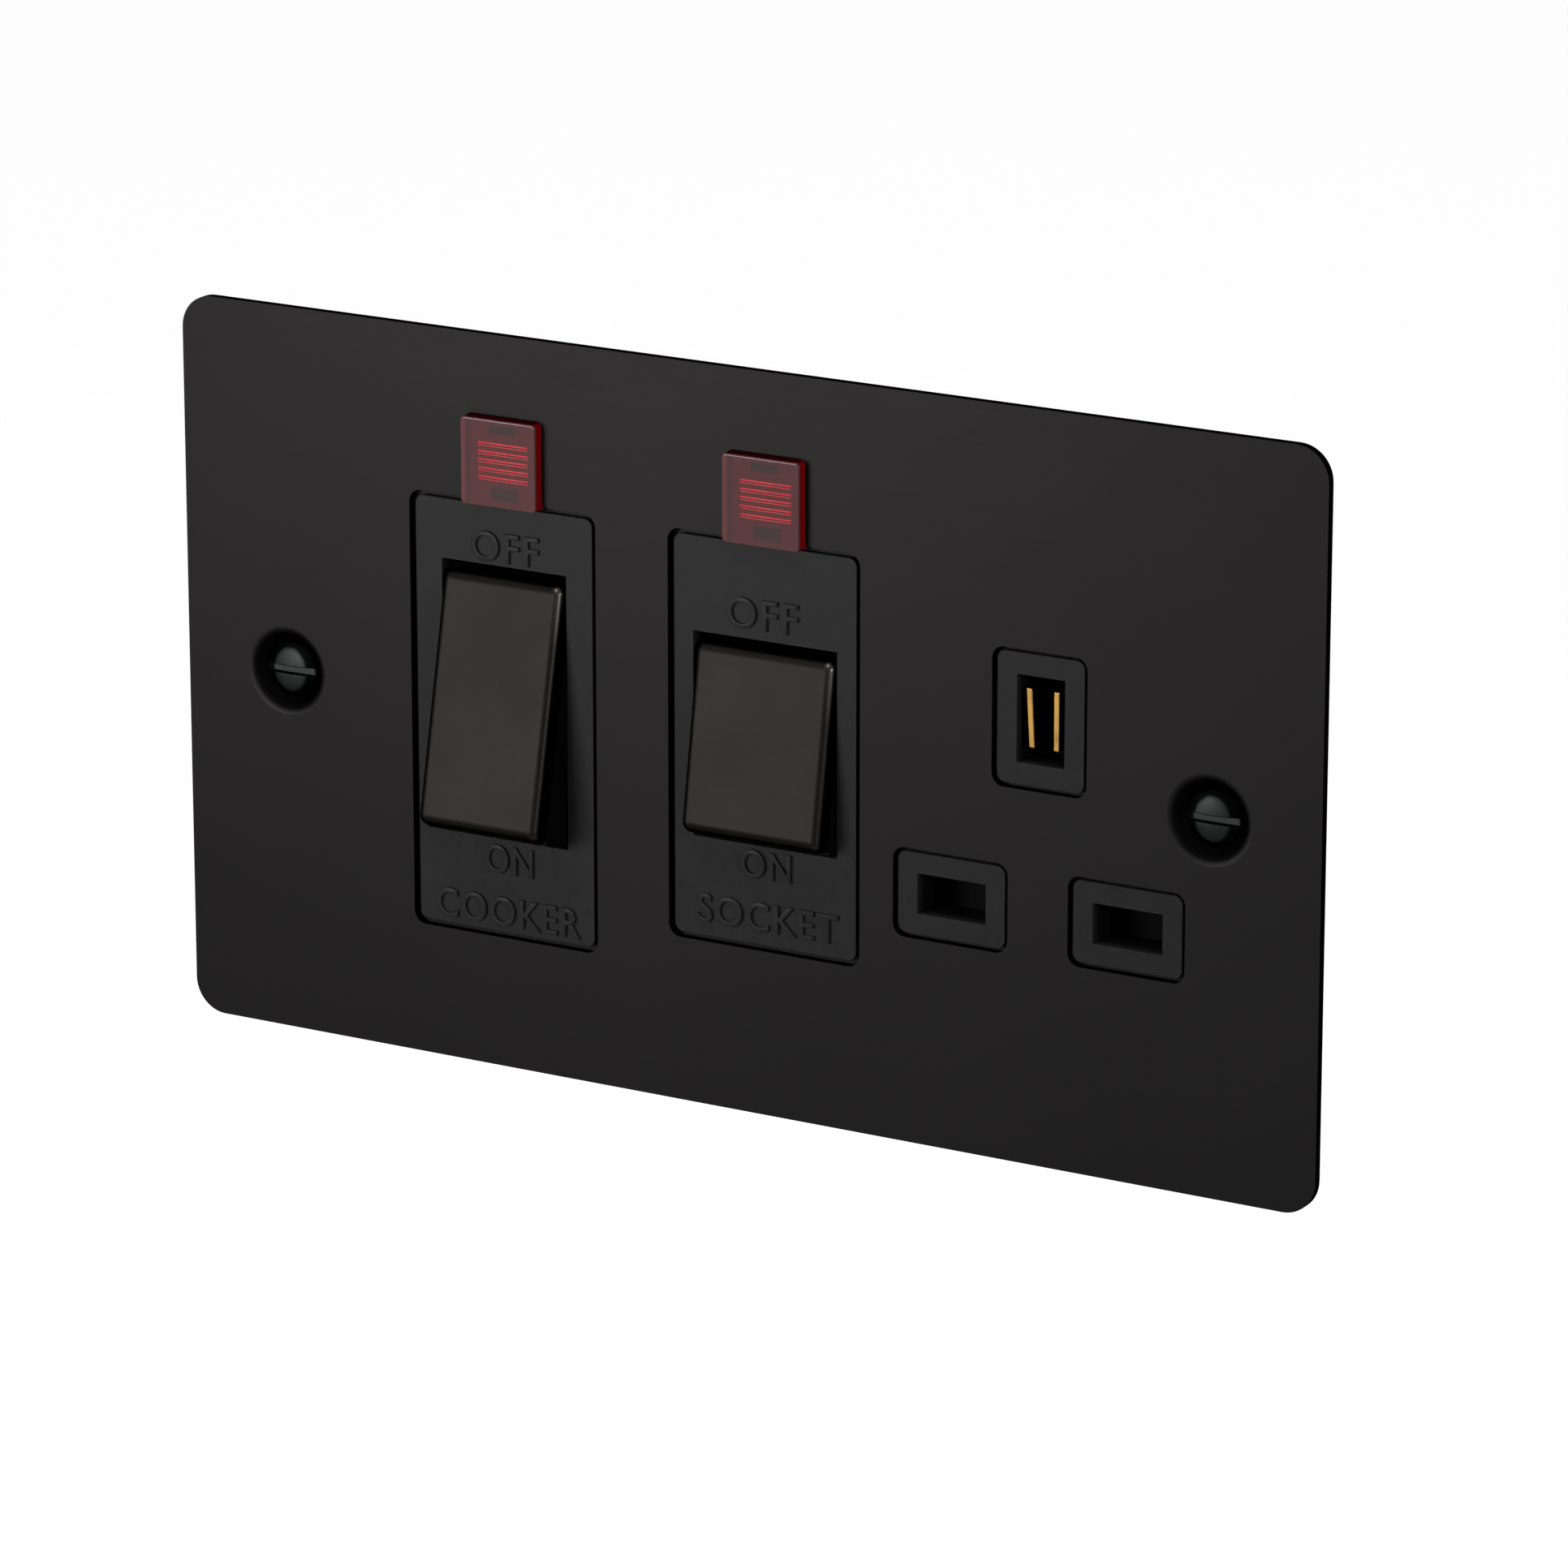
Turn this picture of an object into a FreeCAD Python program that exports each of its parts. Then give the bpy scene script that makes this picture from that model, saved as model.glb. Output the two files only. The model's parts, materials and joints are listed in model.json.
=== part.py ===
import FreeCAD, Part
import math
import os
import re

import Sketcher

# Cooker control unit: a double-gang flat plate with a double-pole cooker switch,
# a switched three-pin socket and a neon indicator over each switch.
# +X right, +Z up, the front faces -Y. The origin is the middle of the plate's rear face,
# so the wall is the plane y = 0 and everything behind the plate has positive y.

# Driving sizes in millimetres and degrees
SIZES = {
    # Front plate
    "plate_wide": 148.0,
    "plate_tall": 87.0,
    "plate_thick": 1.2,
    "plate_corner": 4.0,
    "plate_edge_round": 0.3,
    "cutout_corner": 1.5,
    "cutout_edge": 0.25,
    "fixing_centres": 120.6,
    # Pressed seat round a fixing screw
    "dimple_radius": 4.75,
    "dimple_shoulder": 3.45,
    "dimple_fall": 1.1,
    "seat_hole_radius": 1.95,
    "seat_wall": 0.75,
    # Fixing screw
    "screw_radius": 1.75,
    "screw_neck_radius": 1.55,
    "screw_neck_end": 2.8,
    "screw_head_radius": 3.3,
    "screw_head_dome": 0.75,
    "screw_long": 21.0,
    "screw_slot_wide": 0.9,
    "screw_slot_deep": 0.7,
    "screw_seat_gap": 0.08,
    # Switch modules
    "module_wide": 24.95,
    "module_top": 24.1,
    "module_gap": 0.65,
    "module_corner": 1.0,
    "insert_drop": 0.35,
    "cooker_x": -30.6,
    "cooker_module_tall": 52.0,
    "cooker_aperture_wide": 16.7,
    "cooker_aperture_tall": 32.5,
    "cooker_aperture_z": 0.15,
    "switch_x": 3.9,
    "switch_module_tall": 48.1,
    "switch_aperture_wide": 18.7,
    "switch_aperture_tall": 24.1,
    "switch_aperture_z": 0.35,
    # Rockers, turning on moulded trunnions
    "rocker_side_gap": 0.35,
    "rocker_end_gap": 0.35,
    "rocker_axis_y": 0.8,
    "rocker_axis_drop": 0.4,
    "rocker_back": 1.7,
    "cooker_rocker_rise": 5.4,
    "cooker_rocker_tilt": 12.2,
    "switch_rocker_rise": 3.8,
    "switch_rocker_tilt": 9.6,
    "trunnion_radius": 1.1,
    "trunnion_long": 1.2,
    "trunnion_gap": 0.06,
    "cap_thick": 0.6,
    "cap_skirt": 2.6,
    "cap_round": 0.75,
    "cap_fit": 0.05,
    "barrel_radius": 2.4,
    "barrel_end": 4.4,
    "barrel_floor": 2.6,
    # Spring-loaded plunger of each pole
    "pole_offset": 4.6,
    "plunger_radius": 1.4,
    "plunger_fit": 0.05,
    "plunger_reach": 8.0,
    "plunger_tail": 1.6,
    "coil_radius": 1.0,
    "coil_wire": 0.2,
    "coil_turns": 4.0,
    "coil_seat": 0.05,
    # Contact arms
    "arm_gap": 0.35,
    "arm_thick": 1.2,
    "arm_wide": 4.6,
    "arm_bend": 8.0,
    "cooker_arm_half": 10.5,
    "cooker_arm_tilt": 9.0,
    "switch_arm_half": 9.5,
    "switch_arm_tilt": 8.5,
    "tip_radius": 1.7,
    "tip_high": 0.8,
    "tip_inset": 1.9,
    "contact_gap": 0.3,
    # Terminals and strips
    "strip_thick": 1.2,
    "strip_wide": 4.8,
    "supply_strip_y": 16.4,
    "fulcrum_gap": 0.3,
    "fulcrum_thick": 1.6,
    "block_offset": 6.7,
    "block_wide": 9.0,
    "block_tall": 10.0,
    "block_front": 11.8,
    "block_back": 23.0,
    "cable_bore_radius": 3.0,
    "cable_bore_y": 16.0,
    "cable_bore_deep": 8.0,
    "clamp_radius": 2.4,
    "clamp_fit": 0.05,
    "clamp_out": 1.4,
    "clamp_slot_wide": 0.9,
    "clamp_slot_deep": 1.2,
    "link_thick": 1.2,
    "link_tall": 3.2,
    "live_link_z": -28.4,
    "neutral_link_z": -23.4,
    "live_link_gap": 1.8,
    # Neon indicators
    "lens_wide": 10.0,
    "lens_tall": 10.3,
    "lens_low": 23.7,
    "lens_proud": 1.4,
    "lens_corner": 0.8,
    "lens_edge": 0.25,
    "lens_wall": 1.2,
    "lens_back": 4.0,
    "lens_lip": 0.8,
    "lens_lip_thick": 0.9,
    "lens_gap": 0.1,
    "lens_front_wall": 1.2,
    "prism_pitch": 1.0,
    "prism_wide": 6.5,
    "prism_high": 0.3,
    "lamp_radius": 3.0,
    "lamp_front": 0.3,
    "lamp_long": 6.6,
    "lead_radius": 0.3,
    "lead_offset": 2.65,
    "lens_shift": 0.4,
    "resistor_radius": 1.0,
    "resistor_long": 3.2,
    # Front moulding behind the plate
    "flange_thick": 2.0,
    "flange_left": -50.0,
    "flange_right": 58.6,
    "flange_tall": 71.0,
    "flange_corner": 2.0,
    "lug_clear_radius": 6.4,
    "collar_thick": 1.6,
    "collar_back": 5.2,
    # Socket outlet
    "socket_x": 39.1,
    "pin_row_z": -14.1,
    "pin_spacing": 22.2,
    "earth_rise": 22.2,
    "boss_gap": 0.5,
    "pin_boss_wide": 13.6,
    "pin_boss_tall": 9.5,
    "pin_slot_wide": 8.7,
    "pin_slot_tall": 4.7,
    "earth_boss_wide": 10.9,
    "earth_boss_tall": 15.1,
    "earth_slot_wide": 6.0,
    "earth_slot_tall": 10.1,
    "slot_collar": 1.2,
    "slot_collar_back": 3.6,
    # Shutter that slides down when the earth pin enters
    "shutter_gap": 0.3,
    "shutter_thick": 1.4,
    "shutter_lap": 0.6,
    "shutter_stem_wide": 5.0,
    "shutter_travel": 5.6,
    "cam_wide": 1.4,
    "cam_deep": 5.6,
    "cam_tall": 3.6,
    "earth_pin_tall": 8.0,
    "shutter_coil_radius": 1.5,
    "shutter_coil_seat": 12.0,
    "guide_gap": 0.3,
    "guide_thick": 1.4,
    # Socket contacts
    "leaf_thick": 0.7,
    "leaf_spacing": 3.25,
    "earth_leaf_tall": 6.8,
    "earth_leaf_front": -0.2,
    "earth_leaf_lean": 0.4,
    "earth_leaf_back": 14.0,
    "contact_wide": 6.4,
    "contact_front": 6.0,
    "contact_mouth": 4.6,
    "contact_grip": 3.6,
    "live_bar_y": 16.0,
    "bar_z": 14.4,
    "bar_tall": 3.0,
    # Rear housing
    "housing_wall": 1.8,
    "housing_back": 24.0,
    "housing_left": -47.0,
    "housing_step_x": 18.6,
    "housing_right": 58.2,
    "housing_upper_right": 54.6,
    "housing_top": 21.0,
    "housing_bottom": -20.8,
    "housing_socket_bottom": -33.0,
    "housing_step_z": -8.0,
    "housing_corner": 1.0,
    "strip_slot_gap": 0.3,
    "barrier_thick": 1.4,
    "barrier_gap": 0.3,
    "block_stand": 1.0,
    "upper_post_x": 45.2,
    "upper_post_z": 9.0,
    "lower_post_x": 24.0,
    "lower_post_z": -28.4,
    "post_radius": 2.6,
    "post_inset": 1.0,
    "housing_screw_radius": 1.25,
    "housing_screw_fit": 0.05,
    "housing_screw_long": 9.0,
    "housing_head_radius": 2.4,
    "housing_head_high": 1.5,
}

# Places worked out from the sizes
PLACES = {
    "insert_front": "insert_drop - plate_thick",
    "cooker_z": "module_top - cooker_module_tall / 2",
    "switch_z": "module_top - switch_module_tall / 2",
    "cooker_axis_z": "cooker_aperture_z - rocker_axis_drop",
    "switch_axis_z": "switch_aperture_z - rocker_axis_drop",
    "cooker_rocker_wide": "cooker_aperture_wide - 2 * rocker_side_gap",
    "switch_rocker_wide": "switch_aperture_wide - 2 * rocker_side_gap",
    "cooker_rocker_radius": "cooker_aperture_tall / 2 - rocker_axis_drop - rocker_end_gap",
    "switch_rocker_radius": "switch_aperture_tall / 2 - rocker_axis_drop - rocker_end_gap",
    "arm_front": "plunger_reach + arm_gap",
    "arm_axis_y": "rocker_axis_y + arm_front + arm_thick / 2",
    "cooker_tip_y": "arm_axis_y + (cooker_arm_half - tip_inset) * sin((cooker_arm_tilt - arm_bend) * 1deg)"
                    " + (arm_thick / 2 + tip_high) * cos((cooker_arm_tilt - arm_bend) * 1deg) + contact_gap",
    "switch_tip_y": "arm_axis_y + (switch_arm_half - tip_inset) * sin((switch_arm_tilt - arm_bend) * 1deg)"
                    " + (arm_thick / 2 + tip_high) * cos((switch_arm_tilt - arm_bend) * 1deg) + contact_gap",
    "cooker_load_y": "cooker_tip_y + tip_high",
    "switch_load_y": "switch_tip_y + tip_high",
    "block_low": "housing_top + block_stand",
    "block_high": "housing_top + block_stand + block_tall",
    "supply_high": "housing_bottom - block_stand",
    "supply_low": "housing_bottom - block_stand - block_tall",
    "live_link_y": "block_front - live_link_gap - link_thick",
    "lens_z": "lens_low + lens_tall / 2",
    "lens_front": "0 - plate_thick - lens_proud",
    "earth_z": "pin_row_z + earth_rise",
    "left_pin_x": "socket_x - pin_spacing / 2",
    "right_pin_x": "socket_x + pin_spacing / 2",
    "shutter_front": "slot_collar_back + shutter_gap",
    "shutter_top": "earth_z - earth_slot_tall / 2 - shutter_gap",
    "cam_top": "earth_z - earth_pin_tall / 2 + cam_deep - shutter_gap",
    "shutter_spring_low": "pin_row_z - pin_slot_tall / 2 - shutter_lap - shutter_coil_seat",
    "flange_bottom": "0 - flange_tall / 2",
    "flange_top": "flange_tall / 2",
}

WORD = re.compile(r"[a-z][a-z_]*[a-z]")


def full(formula):
    """A formula with each size or place read from its own holder."""
    def holder(match):
        word = match.group(0)
        if word in SIZES:
            return "Sizes." + word
        if word in PLACES:
            return "Places." + word
        return word
    return WORD.sub(holder, str(formula))


DOC = FreeCAD.newDocument("cooker_control_unit")
SUB_PARTS = []


def make_sheet():
    sheet = DOC.addObject("Spreadsheet::Sheet", "Sizes")
    for row, (name, value) in enumerate(SIZES.items(), start=1):
        sheet.set("A%d" % row, name)
        sheet.set("B%d" % row, str(value))
        sheet.setAlias("B%d" % row, name)
    places = DOC.addObject("App::VarSet", "Places")
    for name, formula in PLACES.items():
        places.addProperty("App::PropertyFloat", name, "Places", "")
        places.setExpression(name, full(formula))
    probe = DOC.addObject("App::VarSet", "Probe")
    probe.addProperty("App::PropertyFloat", "reading", "Probe", "")
    DOC.recompute()
    return probe


PROBE = make_sheet()


def number(formula):
    """The present value of a formula, to start a sketch near its final shape."""
    PROBE.setExpression("reading", full(formula))
    PROBE.recompute()
    return PROBE.reading


def piece(label, across="0", depth="0", up="0", turn="0"):
    """A body with its own frame, turned about the X direction."""
    body = DOC.addObject("PartDesign::Body", label)
    body.Label = label
    body.Placement.Rotation = FreeCAD.Rotation(FreeCAD.Vector(1, 0, 0), 1)
    body.setExpression("Placement.Base.x", full(across))
    body.setExpression("Placement.Base.y", full(depth))
    body.setExpression("Placement.Base.z", full(up))
    body.setExpression("Placement.Rotation.Angle", full(turn))
    SUB_PARTS.append(body)
    return body


def sketch(body, role, offset):
    plane = next(f for f in body.Origin.OriginFeatures if f.Role == role)
    drawn = body.newObject("Sketcher::SketchObject", body.Label + "_outline")
    drawn.AttachmentSupport = [(plane, "")]
    drawn.MapMode = "FlatFace"
    drawn.setExpression("AttachmentOffset.Base.z", full(offset))
    return drawn


def limit(drawn, kind, places, formula):
    row = drawn.addConstraint(Sketcher.Constraint(kind, *places, number(formula)))
    drawn.setExpression("Constraints[%d]" % row, full(formula))


def fix_point(drawn, item, end, across=None, up=None):
    if across is not None:
        limit(drawn, "DistanceX", (-1, 1, item, end), across)
    if up is not None:
        limit(drawn, "DistanceY", (-1, 1, item, end), up)


def polygon(drawn, corners):
    at = [FreeCAD.Vector(number(u), number(v), 0) for u, v in corners]
    sides = [drawn.addGeometry(Part.LineSegment(at[i - 1], at[i])) for i in range(len(at))]
    for i, side in enumerate(sides):
        drawn.addConstraint(Sketcher.Constraint("Coincident", side, 2, sides[(i + 1) % len(at)], 1))
        fix_point(drawn, side, 2, *corners[i])


def box(drawn, left, right, low, high):
    polygon(drawn, [(left, low), (right, low), (right, high), (left, high)])


def disc(drawn, across, up, radius):
    centre = FreeCAD.Vector(number(across), number(up), 0)
    round_one = drawn.addGeometry(Part.Circle(centre, FreeCAD.Vector(0, 0, 1), number(radius)))
    fix_point(drawn, round_one, 3, across, up)
    limit(drawn, "Radius", (round_one,), radius)


def rounded(drawn, left, right, low, high, corner):
    """A box whose four corners are arcs."""
    centres = [
        ("(%s) - (%s)" % (right, corner), "(%s) - (%s)" % (high, corner)),
        ("(%s) + (%s)" % (left, corner), "(%s) - (%s)" % (high, corner)),
        ("(%s) + (%s)" % (left, corner), "(%s) + (%s)" % (low, corner)),
        ("(%s) - (%s)" % (right, corner), "(%s) + (%s)" % (low, corner)),
    ]
    radius = number(corner)
    arcs = []
    for turn, (u, v) in enumerate(centres):
        circle = Part.Circle(FreeCAD.Vector(number(u), number(v), 0), FreeCAD.Vector(0, 0, 1), radius)
        start = turn * math.pi / 2
        arcs.append(drawn.addGeometry(Part.ArcOfCircle(circle, start, start + math.pi / 2)))
    sides = []
    for turn in range(4):
        start = drawn.Geometry[arcs[turn]].EndPoint
        end = drawn.Geometry[arcs[(turn + 1) % 4]].StartPoint
        sides.append(drawn.addGeometry(Part.LineSegment(start, end)))
    for turn in range(4):
        drawn.addConstraint(Sketcher.Constraint("Tangent", arcs[turn], 2, sides[turn], 1))
        drawn.addConstraint(Sketcher.Constraint("Tangent", sides[turn], 2, arcs[(turn + 1) % 4], 1))
    for arc, (u, v) in zip(arcs, centres):
        fix_point(drawn, arc, 3, u, v)
        limit(drawn, "Radius", (arc,), corner)


OUTLINES = {"box": box, "disc": disc, "rounded": rounded, "polygon": polygon}


def draw(body, role, offset, shapes):
    drawn = sketch(body, role, offset)
    for kind, *values in shapes:
        OUTLINES[kind](drawn, *values)
    return drawn


def slab(body, front, back, *shapes):
    """Material between two depths, with outlines seen from the front."""
    made = body.newObject("PartDesign::Pad", "slab")
    made.Profile = draw(body, "XZ_Plane", "0 - (%s)" % back, shapes)
    made.setExpression("Length", full("(%s) - (%s)" % (back, front)))
    return made


def recess(body, front, back, *shapes):
    """A cut between two depths, with outlines seen from the front."""
    made = body.newObject("PartDesign::Pocket", "recess")
    made.Profile = draw(body, "XZ_Plane", "0 - (%s)" % front, shapes)
    made.setExpression("Length", full("(%s) - (%s)" % (back, front)))
    return made


def side_slab(body, middle, wide, *shapes):
    """Material of a width about a middle plane, with outlines seen from the side (depth, height)."""
    made = body.newObject("PartDesign::Pad", "side_slab")
    made.Profile = draw(body, "YZ_Plane", middle, shapes)
    made.SideType = "Symmetric"
    made.setExpression("Length", full(wide))
    return made


def side_recess(body, middle, wide, *shapes):
    made = body.newObject("PartDesign::Pocket", "side_recess")
    made.Profile = draw(body, "YZ_Plane", middle, shapes)
    made.SideType = "Symmetric"
    made.setExpression("Length", full(wide))
    return made


def turned(body, axis_x, corners, cut=False):
    """A section in the plane z = 0, given as (radius, depth), spun about a line along the depth."""
    drawn = sketch(body, "XY_Plane", "0")
    low = FreeCAD.Vector(number(axis_x), -1, 0)
    high = FreeCAD.Vector(number(axis_x), 1, 0)
    centre_line = drawn.addGeometry(Part.LineSegment(low, high), True)
    fix_point(drawn, centre_line, 1, axis_x, "0 - 1")
    fix_point(drawn, centre_line, 2, axis_x, "1")
    polygon(drawn, [("(%s) + (%s)" % (axis_x, radius), depth) for radius, depth in corners])
    made = body.newObject("PartDesign::Groove" if cut else "PartDesign::Revolution", "turned")
    made.Profile = drawn
    made.ReferenceAxis = (drawn, ["Axis0"])
    made.Angle = 360
    return made


def edges_where(shape, test):
    return ["Edge%d" % (i + 1) for i, edge in enumerate(shape.Edges) if test(edge)]


def dress(body, kind, size_name, size, test):
    DOC.recompute()
    before = body.Tip
    made = body.newObject("PartDesign::" + kind, kind.lower())
    made.Base = (before, edges_where(before.Shape, test))
    made.setExpression(size_name, full(size))
    DOC.recompute()
    return made


def soften(body, radius, test):
    """Round the edges of the last feature that pass a test."""
    return dress(body, "Fillet", "Radius", radius, test)


def bevel(body, size, test):
    """Break the edges of the last feature that pass a test."""
    return dress(body, "Chamfer", "Size", size, test)


def lies_at_depth(edge, depth):
    box_of_edge = edge.BoundBox
    return max(abs(box_of_edge.YMin - depth), abs(box_of_edge.YMax - depth)) < 1e-4


def group(label, members):
    """Like pieces that share one node, each a solid of its own."""
    joined = DOC.addObject("Part::Compound", label)
    joined.Label = label
    joined.Links = members
    for member in members:
        SUB_PARTS.remove(member)
    SUB_PARTS.append(joined)
    return joined


def about(middle, wide):
    """The two ends of a width about its middle."""
    return "(%s) - (%s) / 2" % (middle, wide), "(%s) + (%s) / 2" % (middle, wide)


# Front plate

def pressed_seat(body, side):
    """The dish that a fixing screw sinks into, pressed back out of the plate."""
    axis = "%s fixing_centres / 2" % side
    rim = "dimple_radius + seat_wall"
    recess(body, "0 - plate_thick", "0", ("disc", axis, "0", rim))
    floor = "dimple_fall - plate_thick"
    throat = "(%s) + dimple_shoulder - seat_hole_radius" % floor
    turned(body, axis, [
        ("seat_hole_radius", throat),
        ("dimple_shoulder", floor),
        ("dimple_radius", "0 - plate_thick"),
        (rim, "0 - plate_thick"),
        (rim, "0"),
        ("dimple_shoulder + seat_wall", "(%s) + seat_wall" % floor),
        ("seat_hole_radius + seat_wall", "(%s) + seat_wall" % throat),
        ("seat_hole_radius", "(%s) + seat_wall" % throat),
    ])


def front_plate():
    body = piece("front_plate")
    left, right = about("0", "plate_wide")
    low, high = about("0", "plate_tall")
    slab(body, "0 - plate_thick", "0", ("rounded", left, right, low, high, "plate_corner"))
    front = number("0 - plate_thick")
    soften(body, "plate_edge_round", lambda edge: lies_at_depth(edge, front))
    for name in ("cooker", "switch"):
        left, right = about(name + "_x", "module_wide")
        low = "module_top - %s_module_tall" % name
        recess(body, "0 - plate_thick", "0", ("rounded", left, right, low, "module_top", "cutout_corner"))
        left, right = about(name + "_x + lens_shift", "lens_wide + 2 * lens_gap")
        recess(body, "0 - plate_thick", "0",
               ("rounded", left, right, "module_top - 2 * lens_corner",
                "lens_low + lens_tall + lens_gap", "lens_corner"))
    bosses = [("rounded", *outline, "cutout_corner") for outline in boss_outlines("boss_gap")]
    recess(body, "0 - plate_thick", "0", *bosses)
    inner_across = number("plate_wide / 2 - plate_corner")
    inner_up = number("plate_tall / 2 - plate_corner")

    def round_a_cutout(edge):
        middle = edge.CenterOfMass
        return lies_at_depth(edge, front) and abs(middle.x) < inner_across and abs(middle.z) < inner_up

    bevel(body, "cutout_edge", round_a_cutout)
    pressed_seat(body, "0 +")
    pressed_seat(body, "0 -")
    return body


def boss_outlines(gap):
    """The raised frames round the three pin holes, grown by a gap on every side."""
    outlines = []
    for middle in ("left_pin_x", "right_pin_x"):
        across = about(middle, "pin_boss_wide + 2 * (%s)" % gap)
        outlines.append(across + about("pin_row_z", "pin_boss_tall + 2 * (%s)" % gap))
    across = about("socket_x", "earth_boss_wide + 2 * (%s)" % gap)
    outlines.append(across + about("earth_z", "earth_boss_tall + 2 * (%s)" % gap))
    return outlines


def fixing_screws():
    members = []
    for side, name in (("0 -", "left"), ("0 +", "right")):
        body = piece("fixing_screw_" + name)
        axis = "%s fixing_centres / 2" % side
        rim = "dimple_fall - plate_thick - screw_seat_gap * 1.5 + dimple_shoulder - screw_head_radius"
        turned(body, axis, [
            ("0", "(%s) - screw_head_dome" % rim),
            ("screw_head_radius * 0.6", "(%s) - screw_head_dome * 0.7" % rim),
            ("screw_head_radius", rim),
            ("screw_neck_radius", "(%s) + screw_head_radius - screw_neck_radius" % rim),
            ("screw_neck_radius", "screw_neck_end"),
            ("screw_radius", "screw_neck_end"),
            ("screw_radius", "screw_long - screw_radius * 0.4"),
            ("screw_radius * 0.6", "screw_long"),
            ("0", "screw_long"),
        ])
        left, right = about(axis, "2.2 * screw_head_radius")
        low, high = about("0", "screw_slot_wide")
        top = "(%s) - screw_head_dome" % rim
        recess(body, top, "(%s) + screw_slot_deep" % top, ("box", left, right, low, high))
        members.append(body)
    return group("fixing_screws", members)


# Front moulding

def aperture(name, grow="0"):
    left, right = about(name + "_x", "%s_aperture_wide + 2 * (%s)" % (name, grow))
    low, high = about(name + "_aperture_z", "%s_aperture_tall + 2 * (%s)" % (name, grow))
    return ("box", left, right, low, high)


def slot_outlines(grow="0"):
    return [("box", *about(middle, "pin_slot_wide + 2 * (%s)" % grow),
             *about("pin_row_z", "pin_slot_tall + 2 * (%s)" % grow))
            for middle in ("left_pin_x", "right_pin_x")]


def lens_outline(name, grow="0"):
    left, right = about(name + "_x + lens_shift", "lens_wide + 2 * (%s)" % grow)
    return left, right, "lens_low - (%s)" % grow, "lens_low + lens_tall + (%s)" % grow


POSTS = (
    ("housing_left + housing_wall + post_radius + post_inset",
     "housing_top - housing_wall - post_radius - post_inset"),
    ("housing_left + housing_wall + post_radius + post_inset",
     "housing_bottom + housing_wall + post_radius + post_inset"),
    ("lower_post_x", "lower_post_z"),
    ("upper_post_x", "upper_post_z"),
)
POST_END = "housing_back - housing_wall"


def front_moulding():
    body = piece("front_moulding")
    slab(body, "0", "flange_thick",
         ("rounded", "flange_left", "flange_right", "flange_bottom", "flange_top", "flange_corner"))
    recess(body, "0", "flange_thick", ("disc", "fixing_centres / 2", "0", "lug_clear_radius"))
    for name in ("cooker", "switch"):
        left, right = about(name + "_x", "module_wide - 2 * module_gap")
        low = "module_top - %s_module_tall + module_gap" % name
        slab(body, "insert_front", "0",
             ("rounded", left, right, low, "module_top - module_gap", "module_corner"))
        slab(body, "flange_thick", "collar_back", aperture(name, "collar_thick"))
    slab(body, "insert_front", "0",
         *[("rounded", *outline, "module_corner") for outline in boss_outlines("0")])
    slab(body, "flange_thick", "slot_collar_back", *slot_outlines("slot_collar"))
    for across, up in POSTS:
        slab(body, "flange_thick", POST_END, ("disc", across, up, "post_radius"))
        recess(body, "%s - housing_screw_long" % POST_END, POST_END,
               ("disc", across, up, "housing_screw_radius + housing_screw_fit"))
    shutter_guides(body)
    for name in ("cooker", "switch"):
        recess(body, "insert_front", "collar_back", aperture(name))
        trunnion_slots(body, name)
        recess(body, "0", "flange_thick", ("box", *lens_outline(name, "lens_gap")))
    recess(body, "insert_front", "slot_collar_back", *slot_outlines())
    earth = about("socket_x", "earth_slot_wide") + about("earth_z", "earth_slot_tall")
    recess(body, "insert_front", "flange_thick", ("box", *earth))
    return body


def trunnion_slots(body, name):
    """Slots open to the rear, where a rocker's trunnions drop in from behind."""
    reach = "%s_rocker_wide + 2 * trunnion_long + 2 * rocker_side_gap" % name
    half = "trunnion_radius + trunnion_gap"
    low = "%s_axis_z - (%s)" % (name, half)
    high = "%s_axis_z + (%s)" % (name, half)
    side_recess(body, name + "_x", reach, ("disc", "rocker_axis_y", name + "_axis_z", half))
    side_recess(body, name + "_x", reach, ("box", "rocker_axis_y", "collar_back", low, high))


def shutter_guides(body):
    """Two hooked rails beside the shutter's stem, and the ledge under its spring."""
    rear = "shutter_front + shutter_thick + shutter_gap"
    for side in ("-", "+"):
        inner = "socket_x %s (shutter_stem_wide / 2 + guide_gap)" % side
        outer = "socket_x %s (shutter_stem_wide / 2 + guide_gap + guide_thick)" % side
        hook = "socket_x %s (shutter_stem_wide / 2 - guide_thick * 0.6)" % side
        span = ("shutter_top - 7", "shutter_top")
        ends = (outer, inner) if side == "-" else (inner, outer)
        hook_ends = (outer, hook) if side == "-" else (hook, outer)
        slab(body, "flange_thick", rear, ("box", *ends, *span))
        slab(body, rear, "(%s) + guide_thick" % rear, ("box", *hook_ends, *span))
    left, right = about("socket_x", "4 * shutter_coil_radius")
    slab(body, "flange_thick", "shutter_front + shutter_thick + shutter_coil_radius",
         ("box", left, right, "shutter_spring_low - guide_thick", "shutter_spring_low"))


# Rockers

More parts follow.
